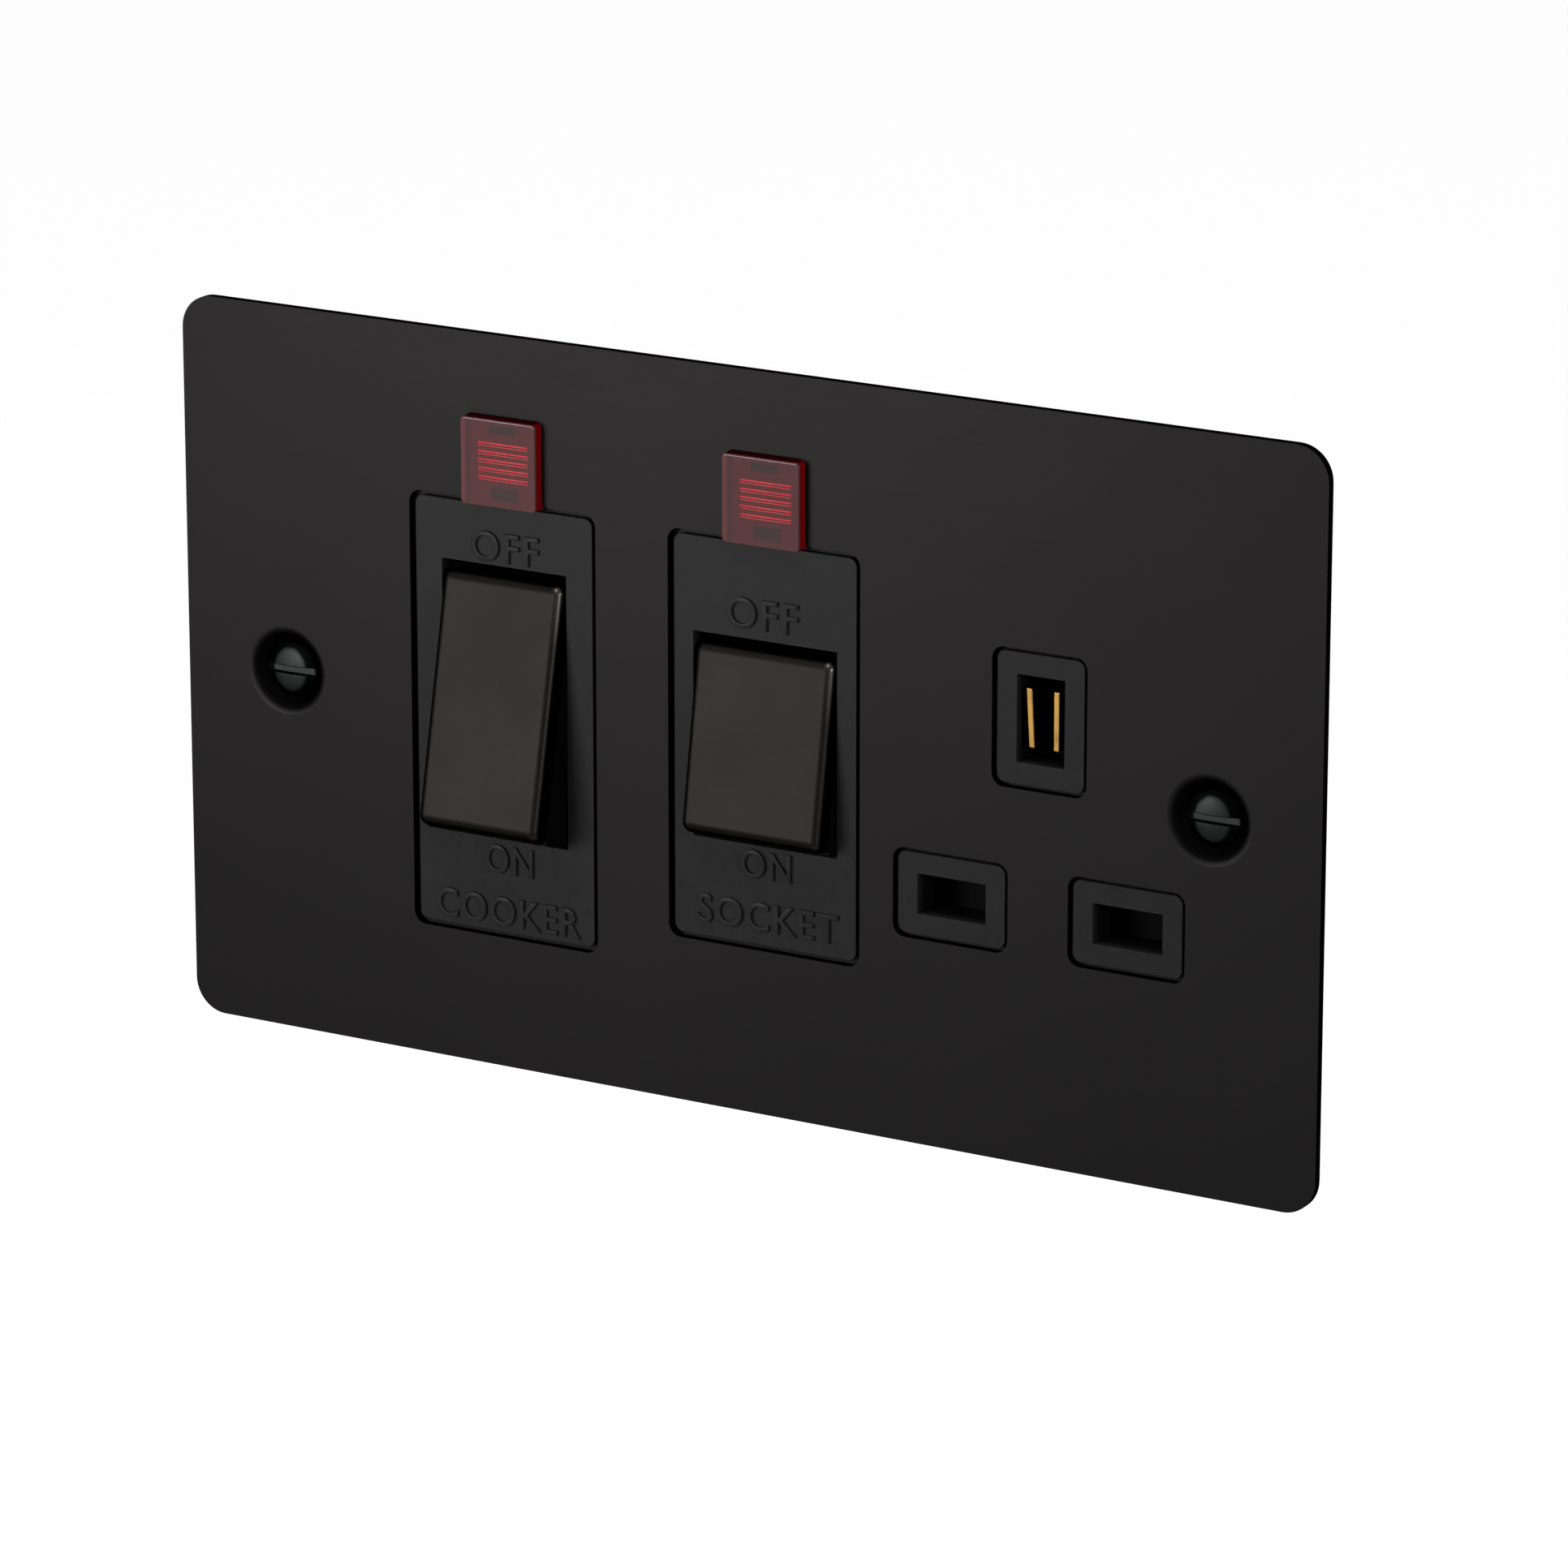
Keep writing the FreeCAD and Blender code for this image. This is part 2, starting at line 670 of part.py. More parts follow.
def rocker_outline(body, middle, wide, rise, radius, back, cut=False):
    """A flat face with ends struck round the rocker's axis, seen from the side."""
    drawn = sketch(body, "YZ_Plane", middle)
    face = number(rise)
    ring = number(radius)
    rear = number(back)
    half = math.sqrt(ring ** 2 - face ** 2)
    half_back = math.sqrt(ring ** 2 - rear ** 2)
    circle = Part.Circle(FreeCAD.Vector(0, 0, 0), FreeCAD.Vector(0, 0, 1), ring)
    front_angle = math.atan2(half, -face)
    back_angle = math.atan2(half_back, rear)
    top = drawn.addGeometry(Part.ArcOfCircle(circle, back_angle, front_angle))
    bottom = drawn.addGeometry(Part.ArcOfCircle(circle, -front_angle, -back_angle))
    front = drawn.addGeometry(Part.LineSegment(FreeCAD.Vector(-face, half, 0), FreeCAD.Vector(-face, -half, 0)))
    behind = drawn.addGeometry(Part.LineSegment(FreeCAD.Vector(rear, -half_back, 0),
                                                FreeCAD.Vector(rear, half_back, 0)))
    ring_of_joints = [(top, 2, front, 1), (front, 2, bottom, 1), (bottom, 2, behind, 1), (behind, 2, top, 1)]
    for first, end, second, start in ring_of_joints:
        drawn.addConstraint(Sketcher.Constraint("Coincident", first, end, second, start))
    for arc in (top, bottom):
        drawn.addConstraint(Sketcher.Constraint("Coincident", arc, 3, -1, 1))
        limit(drawn, "Radius", (arc,), radius)
    for line, place in ((front, "0 - (%s)" % rise), (behind, back)):
        drawn.addConstraint(Sketcher.Constraint("Vertical", line))
        fix_point(drawn, line, 1, across=place)
    made = body.newObject("PartDesign::Pocket" if cut else "PartDesign::Pad", "rocker_side")
    made.Profile = drawn
    made.SideType = "Symmetric"
    made.setExpression("Length", full(wide))
    return made


def rocker_piece(name, label, pole="0"):
    """A body that stands in its rocker's frame, with the switch off."""
    return piece(label, "%s_x + (%s)" % (name, pole), "rocker_axis_y", name + "_axis_z",
                 "0 - %s_rocker_tilt" % name)


def rocker_cap(name, node):
    body = rocker_piece(name, node + "_rocker_cap")
    rise = "%s_rocker_rise" % name
    wide = "%s_rocker_wide" % name
    radius = "%s_rocker_radius" % name
    rocker_outline(body, "0", wide, rise, radius, "cap_skirt - (%s)" % rise)
    face = -SIZES[rise]
    half = number(wide) / 2

    def outer_edge(edge):
        at_face = lies_at_depth(edge, face)
        span = edge.BoundBox
        along_side = abs(abs(span.XMin) - half) < 1e-4 and span.XLength < 1e-4
        return at_face or (along_side and span.YLength > 1)

    soften(body, "cap_round", outer_edge)
    rocker_outline(body, "0", "(%s) - 2 * cap_thick" % wide, "(%s) - cap_thick" % rise,
                   "(%s) - cap_thick" % radius, "cap_skirt - (%s)" % rise, cut=True)
    return body


def rocker(name, node):
    """The moulded core: it fills the cap, carries the trunnions and holds a plunger for each pole."""
    body = rocker_piece(name, node + "_rocker")
    rise = "%s_rocker_rise" % name
    wide = "%s_rocker_wide" % name
    radius = "%s_rocker_radius" % name
    inside = "cap_thick + cap_fit"
    rocker_outline(body, "0", wide, "(%s) - cap_skirt - cap_fit" % rise, radius, "rocker_back")
    rocker_outline(body, "0", "(%s) - 2 * (%s)" % (wide, inside), "(%s) - (%s)" % (rise, inside),
                   "(%s) - (%s)" % (radius, inside), "0")
    side_slab(body, "0", "(%s) + 2 * trunnion_long" % wide, ("disc", "0", "0", "trunnion_radius"))
    for pole in ("0 - pole_offset", "0 + pole_offset"):
        slab(body, "0", "barrel_end", ("disc", pole, "0", "barrel_radius"))
        recess(body, "0 - barrel_floor", "barrel_end", ("disc", pole, "0", "plunger_radius + plunger_fit"))
    return body


def plunger(name, node, pole_name, pole):
    body = rocker_piece(name, "%s_%s_plunger" % (node, pole_name), pole)
    nose = [("plunger_radius * sin(%d * 1deg)" % angle,
             "plunger_reach - plunger_radius + plunger_radius * cos(%d * 1deg)" % angle)
            for angle in (0, 30, 60, 90)]
    turned(body, "0", nose + [("plunger_radius", "plunger_tail"), ("0", "plunger_tail")])
    return body


def coil(label, turns, radius, wire, foot, head, place):
    """A compression spring: straight wire lengths of a six-sided section, wound along +Z of its frame."""
    steps = 10
    tall = head - foot - 2 * wire
    corners = []
    for i in range(int(turns * steps) + 1):
        angle = 2 * math.pi * i / steps
        up = foot + wire + tall * i / int(turns * steps)
        corners.append(FreeCAD.Vector(radius * math.cos(angle), radius * math.sin(angle), up))
    path = Part.makePolygon(corners)
    rim = [FreeCAD.Vector(radius + wire * math.cos(k * math.pi / 3), 0,
                          corners[0].z + wire * math.sin(k * math.pi / 3)) for k in range(7)]
    shell = Part.BRepOffsetAPI.MakePipeShell(path)
    shell.setTransitionMode(1)
    shell.add(Part.makePolygon(rim), False, True)
    shell.build()
    shell.makeSolid()
    made = DOC.addObject("Part::Feature", label)
    made.Label = label
    made.Shape = shell.shape()
    made.Placement = place
    SUB_PARTS.append(made)
    return made


def plunger_spring(name, node, pole_name, pole):
    tilt = FreeCAD.Rotation(FreeCAD.Vector(1, 0, 0), -SIZES["%s_rocker_tilt" % name])
    along = FreeCAD.Rotation(FreeCAD.Vector(1, 0, 0), -90)
    base = FreeCAD.Vector(number("%s_x + (%s)" % (name, pole)), SIZES["rocker_axis_y"],
                          number(name + "_axis_z"))
    place = FreeCAD.Placement(base, tilt.multiply(along))
    foot = number("coil_seat - barrel_floor")
    head = number("plunger_tail - coil_seat")
    return coil("%s_%s_plunger_spring" % (node, pole_name), SIZES["coil_turns"], SIZES["coil_radius"],
                SIZES["coil_wire"], foot, head, place)


# Contact arms and what they touch

def contact_arm(name, node, pole_name, pole):
    """A strip bent about its fulcrum line, both wings leaning forward, with a contact tip at its upper end."""
    half = "%s_arm_half" % name
    body = piece("%s_%s_arm" % (node, pole_name), "%s_x + (%s)" % (name, pole), "arm_axis_y",
                 name + "_axis_z", "%s_arm_tilt" % name)
    lean = "(%s) * sin(arm_bend * 1deg)" % half
    tall = "(%s) * cos(arm_bend * 1deg)" % half
    skin_y = "arm_thick / 2 * cos(arm_bend * 1deg)"
    skin_z = "arm_thick / 2 * sin(arm_bend * 1deg)"
    apex = "arm_thick / 2 / cos(arm_bend * 1deg)"
    side_slab(body, "0", "arm_wide", ("polygon", [
        ("0 - (%s)" % apex, "0"),
        ("0 - (%s) - (%s)" % (lean, skin_y), "0 - (%s) + (%s)" % (tall, skin_z)),
        ("0 - (%s) + (%s)" % (lean, skin_y), "0 - (%s) - (%s)" % (tall, skin_z)),
        (apex, "0"),
        ("0 - (%s) + (%s)" % (lean, skin_y), "(%s) + (%s)" % (tall, skin_z)),
        ("0 - (%s) - (%s)" % (lean, skin_y), "(%s) - (%s)" % (tall, skin_z)),
    ]))
    tip = piece("%s_%s_arm_tip" % (node, pole_name), "%s_x + (%s)" % (name, pole), "arm_axis_y",
                name + "_axis_z", "%s_arm_tilt + arm_bend" % name)
    slab(tip, "arm_thick / 2", "arm_thick / 2 + tip_high", ("disc", "0", "%s - tip_inset" % half, "tip_radius"))


def strip_across(name, pole):
    return about("%s_x + (%s)" % (name, pole), "strip_wide")


def load_terminal(name, node, pole_name, pole):
    """The fixed contact's strip, up through the housing to the neon and, on the cooker pole, a cable block."""
    depth = name + "_load_y"
    left, right = strip_across(name, pole)
    low = "%s_axis_z + %s_arm_half - tip_inset - tip_radius - 1" % (name, name)
    if name == "cooker":
        body = piece("%s_load_%s_terminal" % (node, pole_name))
        slab(body, depth, "%s + strip_thick" % depth, ("box", left, right, low, "block_high"))
        cable_block(body, block_across(name, pole), "block_low", "block_high", "block_high", upward=True)
    else:
        body = piece("%s_load_%s_strip" % (node, pole_name))
        slab(body, depth, "%s + strip_thick" % depth, ("box", left, right, low, "lens_z + 2"))
    return body


def supply_terminal(name, node, pole_name, pole):
    """The post that an arm rocks on, its strip, and on the cooker pole a cable block."""
    left, right = strip_across(name, pole)
    nose = "arm_axis_y + arm_thick / 2 + fulcrum_gap"
    rear = "supply_strip_y + strip_thick"
    if name == "cooker":
        body = piece("%s_supply_%s_terminal" % (node, pole_name))
        foot = "supply_low"
    else:
        body = piece("%s_supply_%s_strip" % (node, pole_name))
        foot = "%s_link_z - link_tall / 2" % pole_name
    top = "%s_axis_z + fulcrum_thick" % name
    slab(body, "supply_strip_y", rear, ("box", left, right, foot, top))
    low, high = about(name + "_axis_z", "fulcrum_thick")
    slab(body, nose, "supply_strip_y", ("box", left, right, low, high))
    if name == "cooker":
        cable_block(body, block_across(name, pole), "supply_low", "supply_high", "supply_low", upward=False)
    return body


def block_across(name, pole):
    side = "-" if pole.startswith("0 -") else "+"
    return "%s_x %s block_offset" % (name, side)


def cable_block(body, middle, low, high, mouth, upward):
    """A brass block with a cable bore from its outer end and a clamp screw from behind."""
    left, right = about(middle, "block_wide")
    slab(body, "block_front", "block_back", ("box", left, right, low, high))
    made = body.newObject("PartDesign::Pocket", "cable_bore")
    made.Profile = draw(body, "XY_Plane", mouth, [("disc", middle, "cable_bore_y", "cable_bore_radius")])
    made.Reversed = not upward
    made.setExpression("Length", full("cable_bore_deep"))
    middle_up = "(%s) %s block_tall / 2" % (mouth, "-" if upward else "+")
    recess(body, "cable_bore_y", "block_back", ("disc", middle, middle_up, "clamp_radius + clamp_fit"))
    return body


def clamp_screw(number_of, middle, up):
    """A slotted clamp screw, backed out of its cable bore as it leaves the factory."""
    body = piece("clamp_screw_%d" % number_of)
    tip = "cable_bore_y + cable_bore_radius + clamp_fit"
    head = "block_back + clamp_out"
    slab(body, tip, head, ("disc", middle, up, "clamp_radius"))
    low, high = about(up, "clamp_slot_wide")
    left, right = about(middle, "3 * clamp_radius")
    recess(body, "(%s) - clamp_slot_deep" % head, head, ("box", left, right, low, high))
    return body


def link(pole_name, pole):
    """A strip outside the housing that feeds the socket's switch from a cooker supply block."""
    body = piece("%s_supply_link" % pole_name)
    up = about("%s_link_z" % pole_name, "link_tall")
    front = "live_link_y" if pole_name == "live" else "block_front - link_thick"
    start = block_across("cooker", pole)
    tab_left, tab_right = about(start, "link_tall")
    strip_left, strip_right = strip_across("switch", pole)
    slab(body, front, "%s + link_thick" % front, ("box", tab_left, strip_right, *up))
    slab(body, front, "block_front", ("box", tab_left, tab_right, *up))
    slab(body, front, "supply_strip_y", ("box", strip_left, strip_right, *up))
    return body


# Neon indicators

def lens(name, node):
    """A cup with a lip behind the moulding and five prisms inside its front wall."""
    body = piece(node + "_neon_lens")
    slab(body, "lens_front", "lens_back", ("rounded", *lens_outline(name), "lens_corner"))
    face = number("lens_front")
    bevel(body, "lens_edge", lambda edge: lies_at_depth(edge, face))
    lip_back = "flange_thick + lens_gap / 2 + lens_lip_thick"
    slab(body, "flange_thick + lens_gap / 2", lip_back, ("box", *lens_outline(name, "lens_lip")))
    recess(body, "lens_front + lens_front_wall", "lens_back", ("box", *lens_outline(name, "0 - lens_wall")))
    left, right = about(name + "_x + lens_shift", "prism_wide")
    ribs = []
    for row in range(-2, 3):
        low, high = about("lens_z + (%d) * prism_pitch" % row, "prism_pitch / 2")
        ribs.append(("box", left, right, low, high))
    floor = "lens_front + lens_front_wall"
    slab(body, "%s - prism_high" % floor, "%s + prism_high" % floor, *ribs)
    return body


def lead_places(name):
    """The live lead on the left of a lamp and the neutral lead on its right."""
    return ["%s_x + lens_shift %s lead_offset" % (name, side) for side in ("-", "+")]


def lead_end(name):
    return "block_front" if name == "cooker" else "switch_load_y"


def neon_lamp(name, node):
    body = piece(node + "_neon_lamp")
    front = "lens_front + lens_front_wall + prism_high + lamp_front"
    back = "(%s) + lamp_long" % front
    middle = "%s_x + lens_shift" % name
    slab(body, front, back, ("disc", middle, "lens_z", "lamp_radius"))
    face = number(front)
    bevel(body, "lamp_radius / 2", lambda edge: lies_at_depth(edge, face))
    live, neutral = lead_places(name)
    slab(body, back, lead_end(name), ("disc", live, "lens_z", "lead_radius"))
    slab(body, back, "(%s) + lead_radius * 2" % back, ("disc", neutral, "lens_z", "lead_radius"))
    return body


def resistor(name, node):
    """The lamp's series resistor, in line on its neutral lead."""
    body = piece(node + "_neon_resistor")
    front = "lens_front + lens_front_wall + prism_high + lamp_front + lamp_long + lead_radius * 2"
    neutral = lead_places(name)[1]
    slab(body, front, lead_end(name), ("disc", neutral, "lens_z", "lead_radius"))
    start = "(%s) + (%s - (%s) - resistor_long) / 2" % (front, lead_end(name), front)
    slab(body, start, "(%s) + resistor_long" % start, ("disc", neutral, "lens_z", "resistor_radius"))
    return body


# Socket outlet

def earth_contact():
    """Two leaves that reach nearly to the front of the earth slot, joined behind and carried up to the block."""
    body = piece("earth_socket_contact")
    high = "earth_z + earth_leaf_tall / 2"
    low = "earth_z - earth_leaf_tall / 2"
    left = "socket_x - leaf_spacing / 2 - leaf_thick / 2"
    right = "socket_x + leaf_spacing / 2 - leaf_thick / 2"
    slab(body, "earth_leaf_front", "earth_leaf_back", ("polygon", [
        ("%s - earth_leaf_lean / 2" % left, high),
        ("%s + earth_leaf_lean / 2" % left, low),
        ("%s + earth_leaf_lean / 2 + leaf_thick" % left, low),
        ("%s - earth_leaf_lean / 2 + leaf_thick" % left, high),
    ]), ("box", right, "%s + leaf_thick" % right, low, high))
    across = about("socket_x", "leaf_spacing + leaf_thick + earth_leaf_lean")
    slab(body, "earth_leaf_back - leaf_thick", "earth_leaf_back", ("box", *across, low, "block_low"))
    return body


def earth_terminal():
    body = piece("earth_terminal")
    return cable_block(body, "socket_x", "block_low", "block_high", "block_high", upward=True)


def pin_contact(label, middle, back):
    """A sprung channel that grips a flat pin: a flared mouth, two jaws and a back."""
    body = piece(label)
    bend = "contact_front + 2 * leaf_thick"
    outside = [
        ("contact_front", "contact_mouth / 2 + leaf_thick"),
        (bend, "contact_grip / 2 + leaf_thick"),
        (back, "contact_grip / 2 + leaf_thick"),
    ]
    inside = [
        ("(%s) - leaf_thick" % back, "contact_grip / 2"),
        (bend, "contact_grip / 2"),
        ("contact_front", "contact_mouth / 2"),
    ]
    corners = [(depth, "pin_row_z + (%s)" % rise) for depth, rise in inside + outside]
    corners += [(depth, "pin_row_z - (%s)" % rise) for depth, rise in (inside + outside)[::-1]]
    side_slab(body, middle, "contact_wide", ("polygon", corners))
    return body


def contact_bar(pole_name, pole, middle, front):
    """A bar from the socket switch's load strip, with a leg down to a pin contact."""
    body = piece("%s_socket_bar" % pole_name)
    strip_left, strip_right = strip_across("switch", pole)
    leg_left, leg_right = about(middle, "bar_tall")
    up = about("bar_z", "bar_tall")
    back = "(%s) + strip_thick" % front
    slab(body, front, back, ("box", strip_left, leg_right, *up))
    foot = "pin_row_z - contact_grip / 2"
    slab(body, front, back, ("box", leg_left, leg_right, foot, up[1]))
    joint = "switch_load_y + strip_thick"
    if pole_name == "live":
        slab(body, joint, front, ("box", strip_left, strip_right, *up))
    return body


def shutter():
    """A plate over both pin slots, with a stem and a ramp that the earth pin drives down."""
    body = piece("shutter")
    back = "shutter_front + shutter_thick"
    left = "left_pin_x - pin_slot_wide / 2 - shutter_lap"
    right = "right_pin_x + pin_slot_wide / 2 + shutter_lap"
    low, high = about("pin_row_z", "pin_slot_tall + 2 * shutter_lap")
    slab(body, "shutter_front", back, ("box", left, right, low, high))
    stem = about("socket_x", "shutter_stem_wide")
    slab(body, "shutter_front", back, ("box", *stem, high, "shutter_top"))
    ramp_end = "shutter_front + cam_deep"
    side_slab(body, "socket_x", "cam_wide", ("polygon", [
        ("shutter_front", "shutter_top - cam_tall"),
        (ramp_end, "shutter_top - cam_tall"),
        (ramp_end, "cam_top"),
        ("shutter_front", "cam_top - cam_deep"),
    ]))
    return body


def shutter_spring():
    low = number("shutter_spring_low")
    head = number("pin_row_z - pin_slot_tall / 2 - shutter_lap - coil_seat")
    base = FreeCAD.Vector(SIZES["socket_x"], number("shutter_front + shutter_thick / 2"), 0)
    return coil("shutter_spring", 2 * SIZES["coil_turns"], SIZES["shutter_coil_radius"], SIZES["coil_wire"],
                low + SIZES["coil_seat"], head, FreeCAD.Placement(base, FreeCAD.Rotation()))


# Rear housing

def wall_slot(body, left, right, front, back, wall_low, wall_high):
    """A slot through a top or bottom wall that a strip passes, with clearance all round."""
    gap = "strip_slot_gap"
    recess(body, "(%s) - %s" % (front, gap), "(%s) + %s" % (back, gap),
           ("box", "(%s) - %s" % (left, gap), "(%s) + %s" % (right, gap), wall_low, wall_high))


def housing_outline(inset):
    """The stepped outline of the housing, brought in by a wall."""
    left = "housing_left + %s" % inset
    upper_right = "housing_upper_right - %s" % inset
    right = "housing_right - %s" % inset
    top = "housing_top - %s" % inset
    bottom = "housing_bottom + %s" % inset
    socket_bottom = "housing_socket_bottom + %s" % inset
    step_x = "housing_step_x + %s" % inset
    step_z = "housing_step_z - %s" % inset
    return ("polygon", [(left, top), (upper_right, top), (upper_right, step_z), (right, step_z),
                        (right, socket_bottom), (step_x, socket_bottom), (step_x, bottom), (left, bottom)])


def rear_housing():
    body = piece("rear_housing")
    slab(body, "flange_thick", "housing_back", housing_outline("0"))
    soften(body, "housing_corner", lambda edge: edge.BoundBox.YLength > 5)
    recess(body, "flange_thick", "housing_back - housing_wall", housing_outline("housing_wall"))
    top = ("housing_top - housing_wall - 1", "housing_top + 1")
    bottom = ("housing_bottom - 1", "housing_bottom + housing_wall + 1")
    for pole in ("0 - pole_offset", "0 + pole_offset"):
        for name in ("cooker", "switch"):
            left, right = strip_across(name, pole)
            depth = name + "_load_y"
            wall_slot(body, left, right, depth, "%s + strip_thick" % depth, *top)
            wall_slot(body, left, right, "supply_strip_y", "supply_strip_y + strip_thick", *bottom)
    left, right = about("socket_x", "leaf_spacing + leaf_thick + earth_leaf_lean")
    wall_slot(body, left, right, "earth_leaf_back - leaf_thick", "earth_leaf_back", *top)
    screw_hole = "housing_screw_radius + housing_screw_fit * 4"
    recess(body, POST_END, "housing_back", *[("disc", across, up, screw_hole) for across, up in POSTS])
    barriers(body)
    return body


def barriers(body):
    """Ribs that keep the cable blocks apart, above and below the housing."""
    edge = "block_offset + block_wide / 2 + barrier_gap + barrier_thick / 2"
    front = "cooker_load_y - 0.2"
    for offset in ("0", "0 - (%s)" % edge, edge):
        left, right = about("cooker_x + (%s)" % offset, "barrier_thick")
        slab(body, front, "housing_back", ("box", left, right, "housing_top - housing_wall / 2", "block_high"))
        slab(body, front, "housing_back",
             ("box", left, right, "supply_low", "housing_bottom + housing_wall / 2"))


def housing_screws():
    members = []
    for count, (across, up) in enumerate(POSTS):
        body = piece("housing_screw_%d" % (count + 1))
        slab(body, "housing_back - housing_wall - housing_screw_long + 1", "housing_back",
             ("disc", across, up, "housing_screw_radius"))
        head = "housing_back + housing_head_high"
        slab(body, "housing_back", head, ("disc", across, up, "housing_head_radius"))
        left, right = about(across, "1.5 * housing_head_radius")
        low, high = about(up, "housing_head_radius / 4")
        recess(body, "(%s) - housing_head_high / 2" % head, head, ("box", left, right, low, high))
        members.append(body)
    return group("housing_screws", members)


def fixed_tips():
    members = []
    for name in ("cooker", "switch"):
        for pole_name, pole in POLES:
            body = piece("%s_%s_fixed_tip" % (name, pole_name))
            up = "%s_axis_z + %s_arm_half - tip_inset" % (name, name)
            slab(body, name + "_tip_y", name + "_load_y",
                 ("disc", "%s_x + (%s)" % (name, pole), up, "tip_radius"))
            members.append(body)
    return group("fixed_contact_tips", members)


def terminal_screws():
    blocks = []
    for pole_name, pole in POLES:
        blocks.append((block_across("cooker", pole), "block_high - block_tall / 2"))
        blocks.append((block_across("cooker", pole), "supply_low + block_tall / 2"))
    blocks.append(("socket_x", "block_high - block_tall / 2"))
    screws = [clamp_screw(i + 1, middle, up) for i, (middle, up) in enumerate(blocks)]
    return group("terminal_screws", screws)


POLES = (("live", "0 - pole_offset"), ("neutral", "0 + pole_offset"))
SWITCHES = (("cooker", "cooker"), ("switch", "socket_switch"))


def build():
    front_plate()
    fixing_screws()
    front_moulding()
    for name, node in SWITCHES:
        rocker_cap(name, node)
        rocker(name, node)
        lens(name, node.replace("_switch", ""))
        neon_lamp(name, node.replace("_switch", ""))
        resistor(name, node.replace("_switch", ""))
        for pole_name, pole in POLES:
            plunger(name, node, pole_name, pole)
            plunger_spring(name, node, pole_name, pole)
            contact_arm(name, node, pole_name, pole)
            load_terminal(name, node, pole_name, pole)
            supply_terminal(name, node, pole_name, pole)
    fixed_tips()
    for pole_name, pole in POLES:
        link(pole_name, pole)
    neutral_bar = "switch_load_y + strip_thick"
    contact_bar("neutral", POLES[1][1], "left_pin_x", neutral_bar)
    contact_bar("live", POLES[0][1], "right_pin_x", "live_bar_y")
    pin_contact("neutral_socket_contact", "left_pin_x", neutral_bar)
    pin_contact("live_socket_contact", "right_pin_x", "live_bar_y")
    earth_contact()
    earth_terminal()
    terminal_screws()
    shutter()
    shutter_spring()
    rear_housing()
    housing_screws()


def export():
    DOC.recompute()
    for item in DOC.Objects:
        if "Invalid" in item.State or "Error" in item.State:
            raise RuntimeError("%s did not build" % item.Label)
    os.makedirs("parts", exist_ok=True)
    for sub_part in SUB_PARTS:
        shape = sub_part.Shape
        if shape.isNull() or not shape.isValid():
            raise RuntimeError("%s has no valid shape" % sub_part.Label)
        shape.exportStep("parts/%s.step" % sub_part.Label)


build()
export()
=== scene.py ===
import json
import math

import bmesh
import bpy
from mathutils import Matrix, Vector

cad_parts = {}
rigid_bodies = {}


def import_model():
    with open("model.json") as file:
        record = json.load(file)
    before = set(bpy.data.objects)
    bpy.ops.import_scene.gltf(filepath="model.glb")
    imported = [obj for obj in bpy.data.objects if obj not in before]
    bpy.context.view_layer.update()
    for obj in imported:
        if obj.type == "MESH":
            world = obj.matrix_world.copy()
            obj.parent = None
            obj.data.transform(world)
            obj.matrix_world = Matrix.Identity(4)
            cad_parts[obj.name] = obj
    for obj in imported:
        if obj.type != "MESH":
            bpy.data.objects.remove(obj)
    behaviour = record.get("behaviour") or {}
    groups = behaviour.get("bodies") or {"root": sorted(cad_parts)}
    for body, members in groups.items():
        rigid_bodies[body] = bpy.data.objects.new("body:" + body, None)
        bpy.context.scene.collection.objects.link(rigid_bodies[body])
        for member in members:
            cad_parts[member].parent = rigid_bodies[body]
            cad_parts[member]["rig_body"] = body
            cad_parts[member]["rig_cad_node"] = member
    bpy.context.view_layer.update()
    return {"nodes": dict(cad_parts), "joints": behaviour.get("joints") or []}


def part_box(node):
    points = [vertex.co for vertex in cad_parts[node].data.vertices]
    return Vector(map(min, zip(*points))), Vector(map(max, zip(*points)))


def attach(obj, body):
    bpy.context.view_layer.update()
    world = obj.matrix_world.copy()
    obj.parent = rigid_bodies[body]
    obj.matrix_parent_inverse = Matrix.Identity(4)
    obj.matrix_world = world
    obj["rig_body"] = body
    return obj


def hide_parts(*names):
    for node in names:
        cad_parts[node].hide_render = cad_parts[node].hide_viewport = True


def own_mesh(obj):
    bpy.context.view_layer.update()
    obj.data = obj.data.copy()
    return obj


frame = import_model()
NODES = frame["nodes"]
MM = 0.001

# Sizes in millimetres, in the unit's own frame: x across, y from the wall plane into the wall, z up
PLATE_WIDE = 148.0
PLATE_TALL = 87.0
PLATE_FRONT = -1.2
PLATE_CORNER = 4.0
PLATE_ROLL = 0.32
PLATE_BACK_ROLL = 0.12
WINDOW_ROLL = 0.55
WINDOW_CORNER = 1.5
THROUGH_PLATE = (-3.0, 2.0)
INSERT_FRONT = -0.85
MODULE_TOP = 24.1
NOTCH_GAP = 0.1
NOTCH_FLARE = 0.8
COOKER = {"body": "cooker_rocker_body", "hinge": "cooker_rocker_hinge", "node": "cooker", "neon": "cooker",
          "x": -30.6, "low": -27.9, "rise": 5.4, "tilt": 12.2, "wide": 16.0, "radius": 15.5}
SWITCH = {"body": "socket_switch_rocker_body", "hinge": "socket_switch_rocker_hinge", "node": "socket_switch",
          "neon": "socket", "x": 3.9, "low": -24.0, "rise": 3.8, "tilt": 9.6, "wide": 18.0, "radius": 11.3}
MODULE_HALF = 12.475
EARTH = (39.1, 8.1)
EARTH_WINDOW = (5.95, 8.05)
PINS = (28.0, 50.2)
PIN_ROW = -14.1
PIN_WINDOW = (7.3, 5.25)
CAP_SKIRT = 2.6
CAP_WALL = 0.6
CAP_ROLL = 1.0
LENS_SHIFT = 0.4
LENS_HALF = 5.0
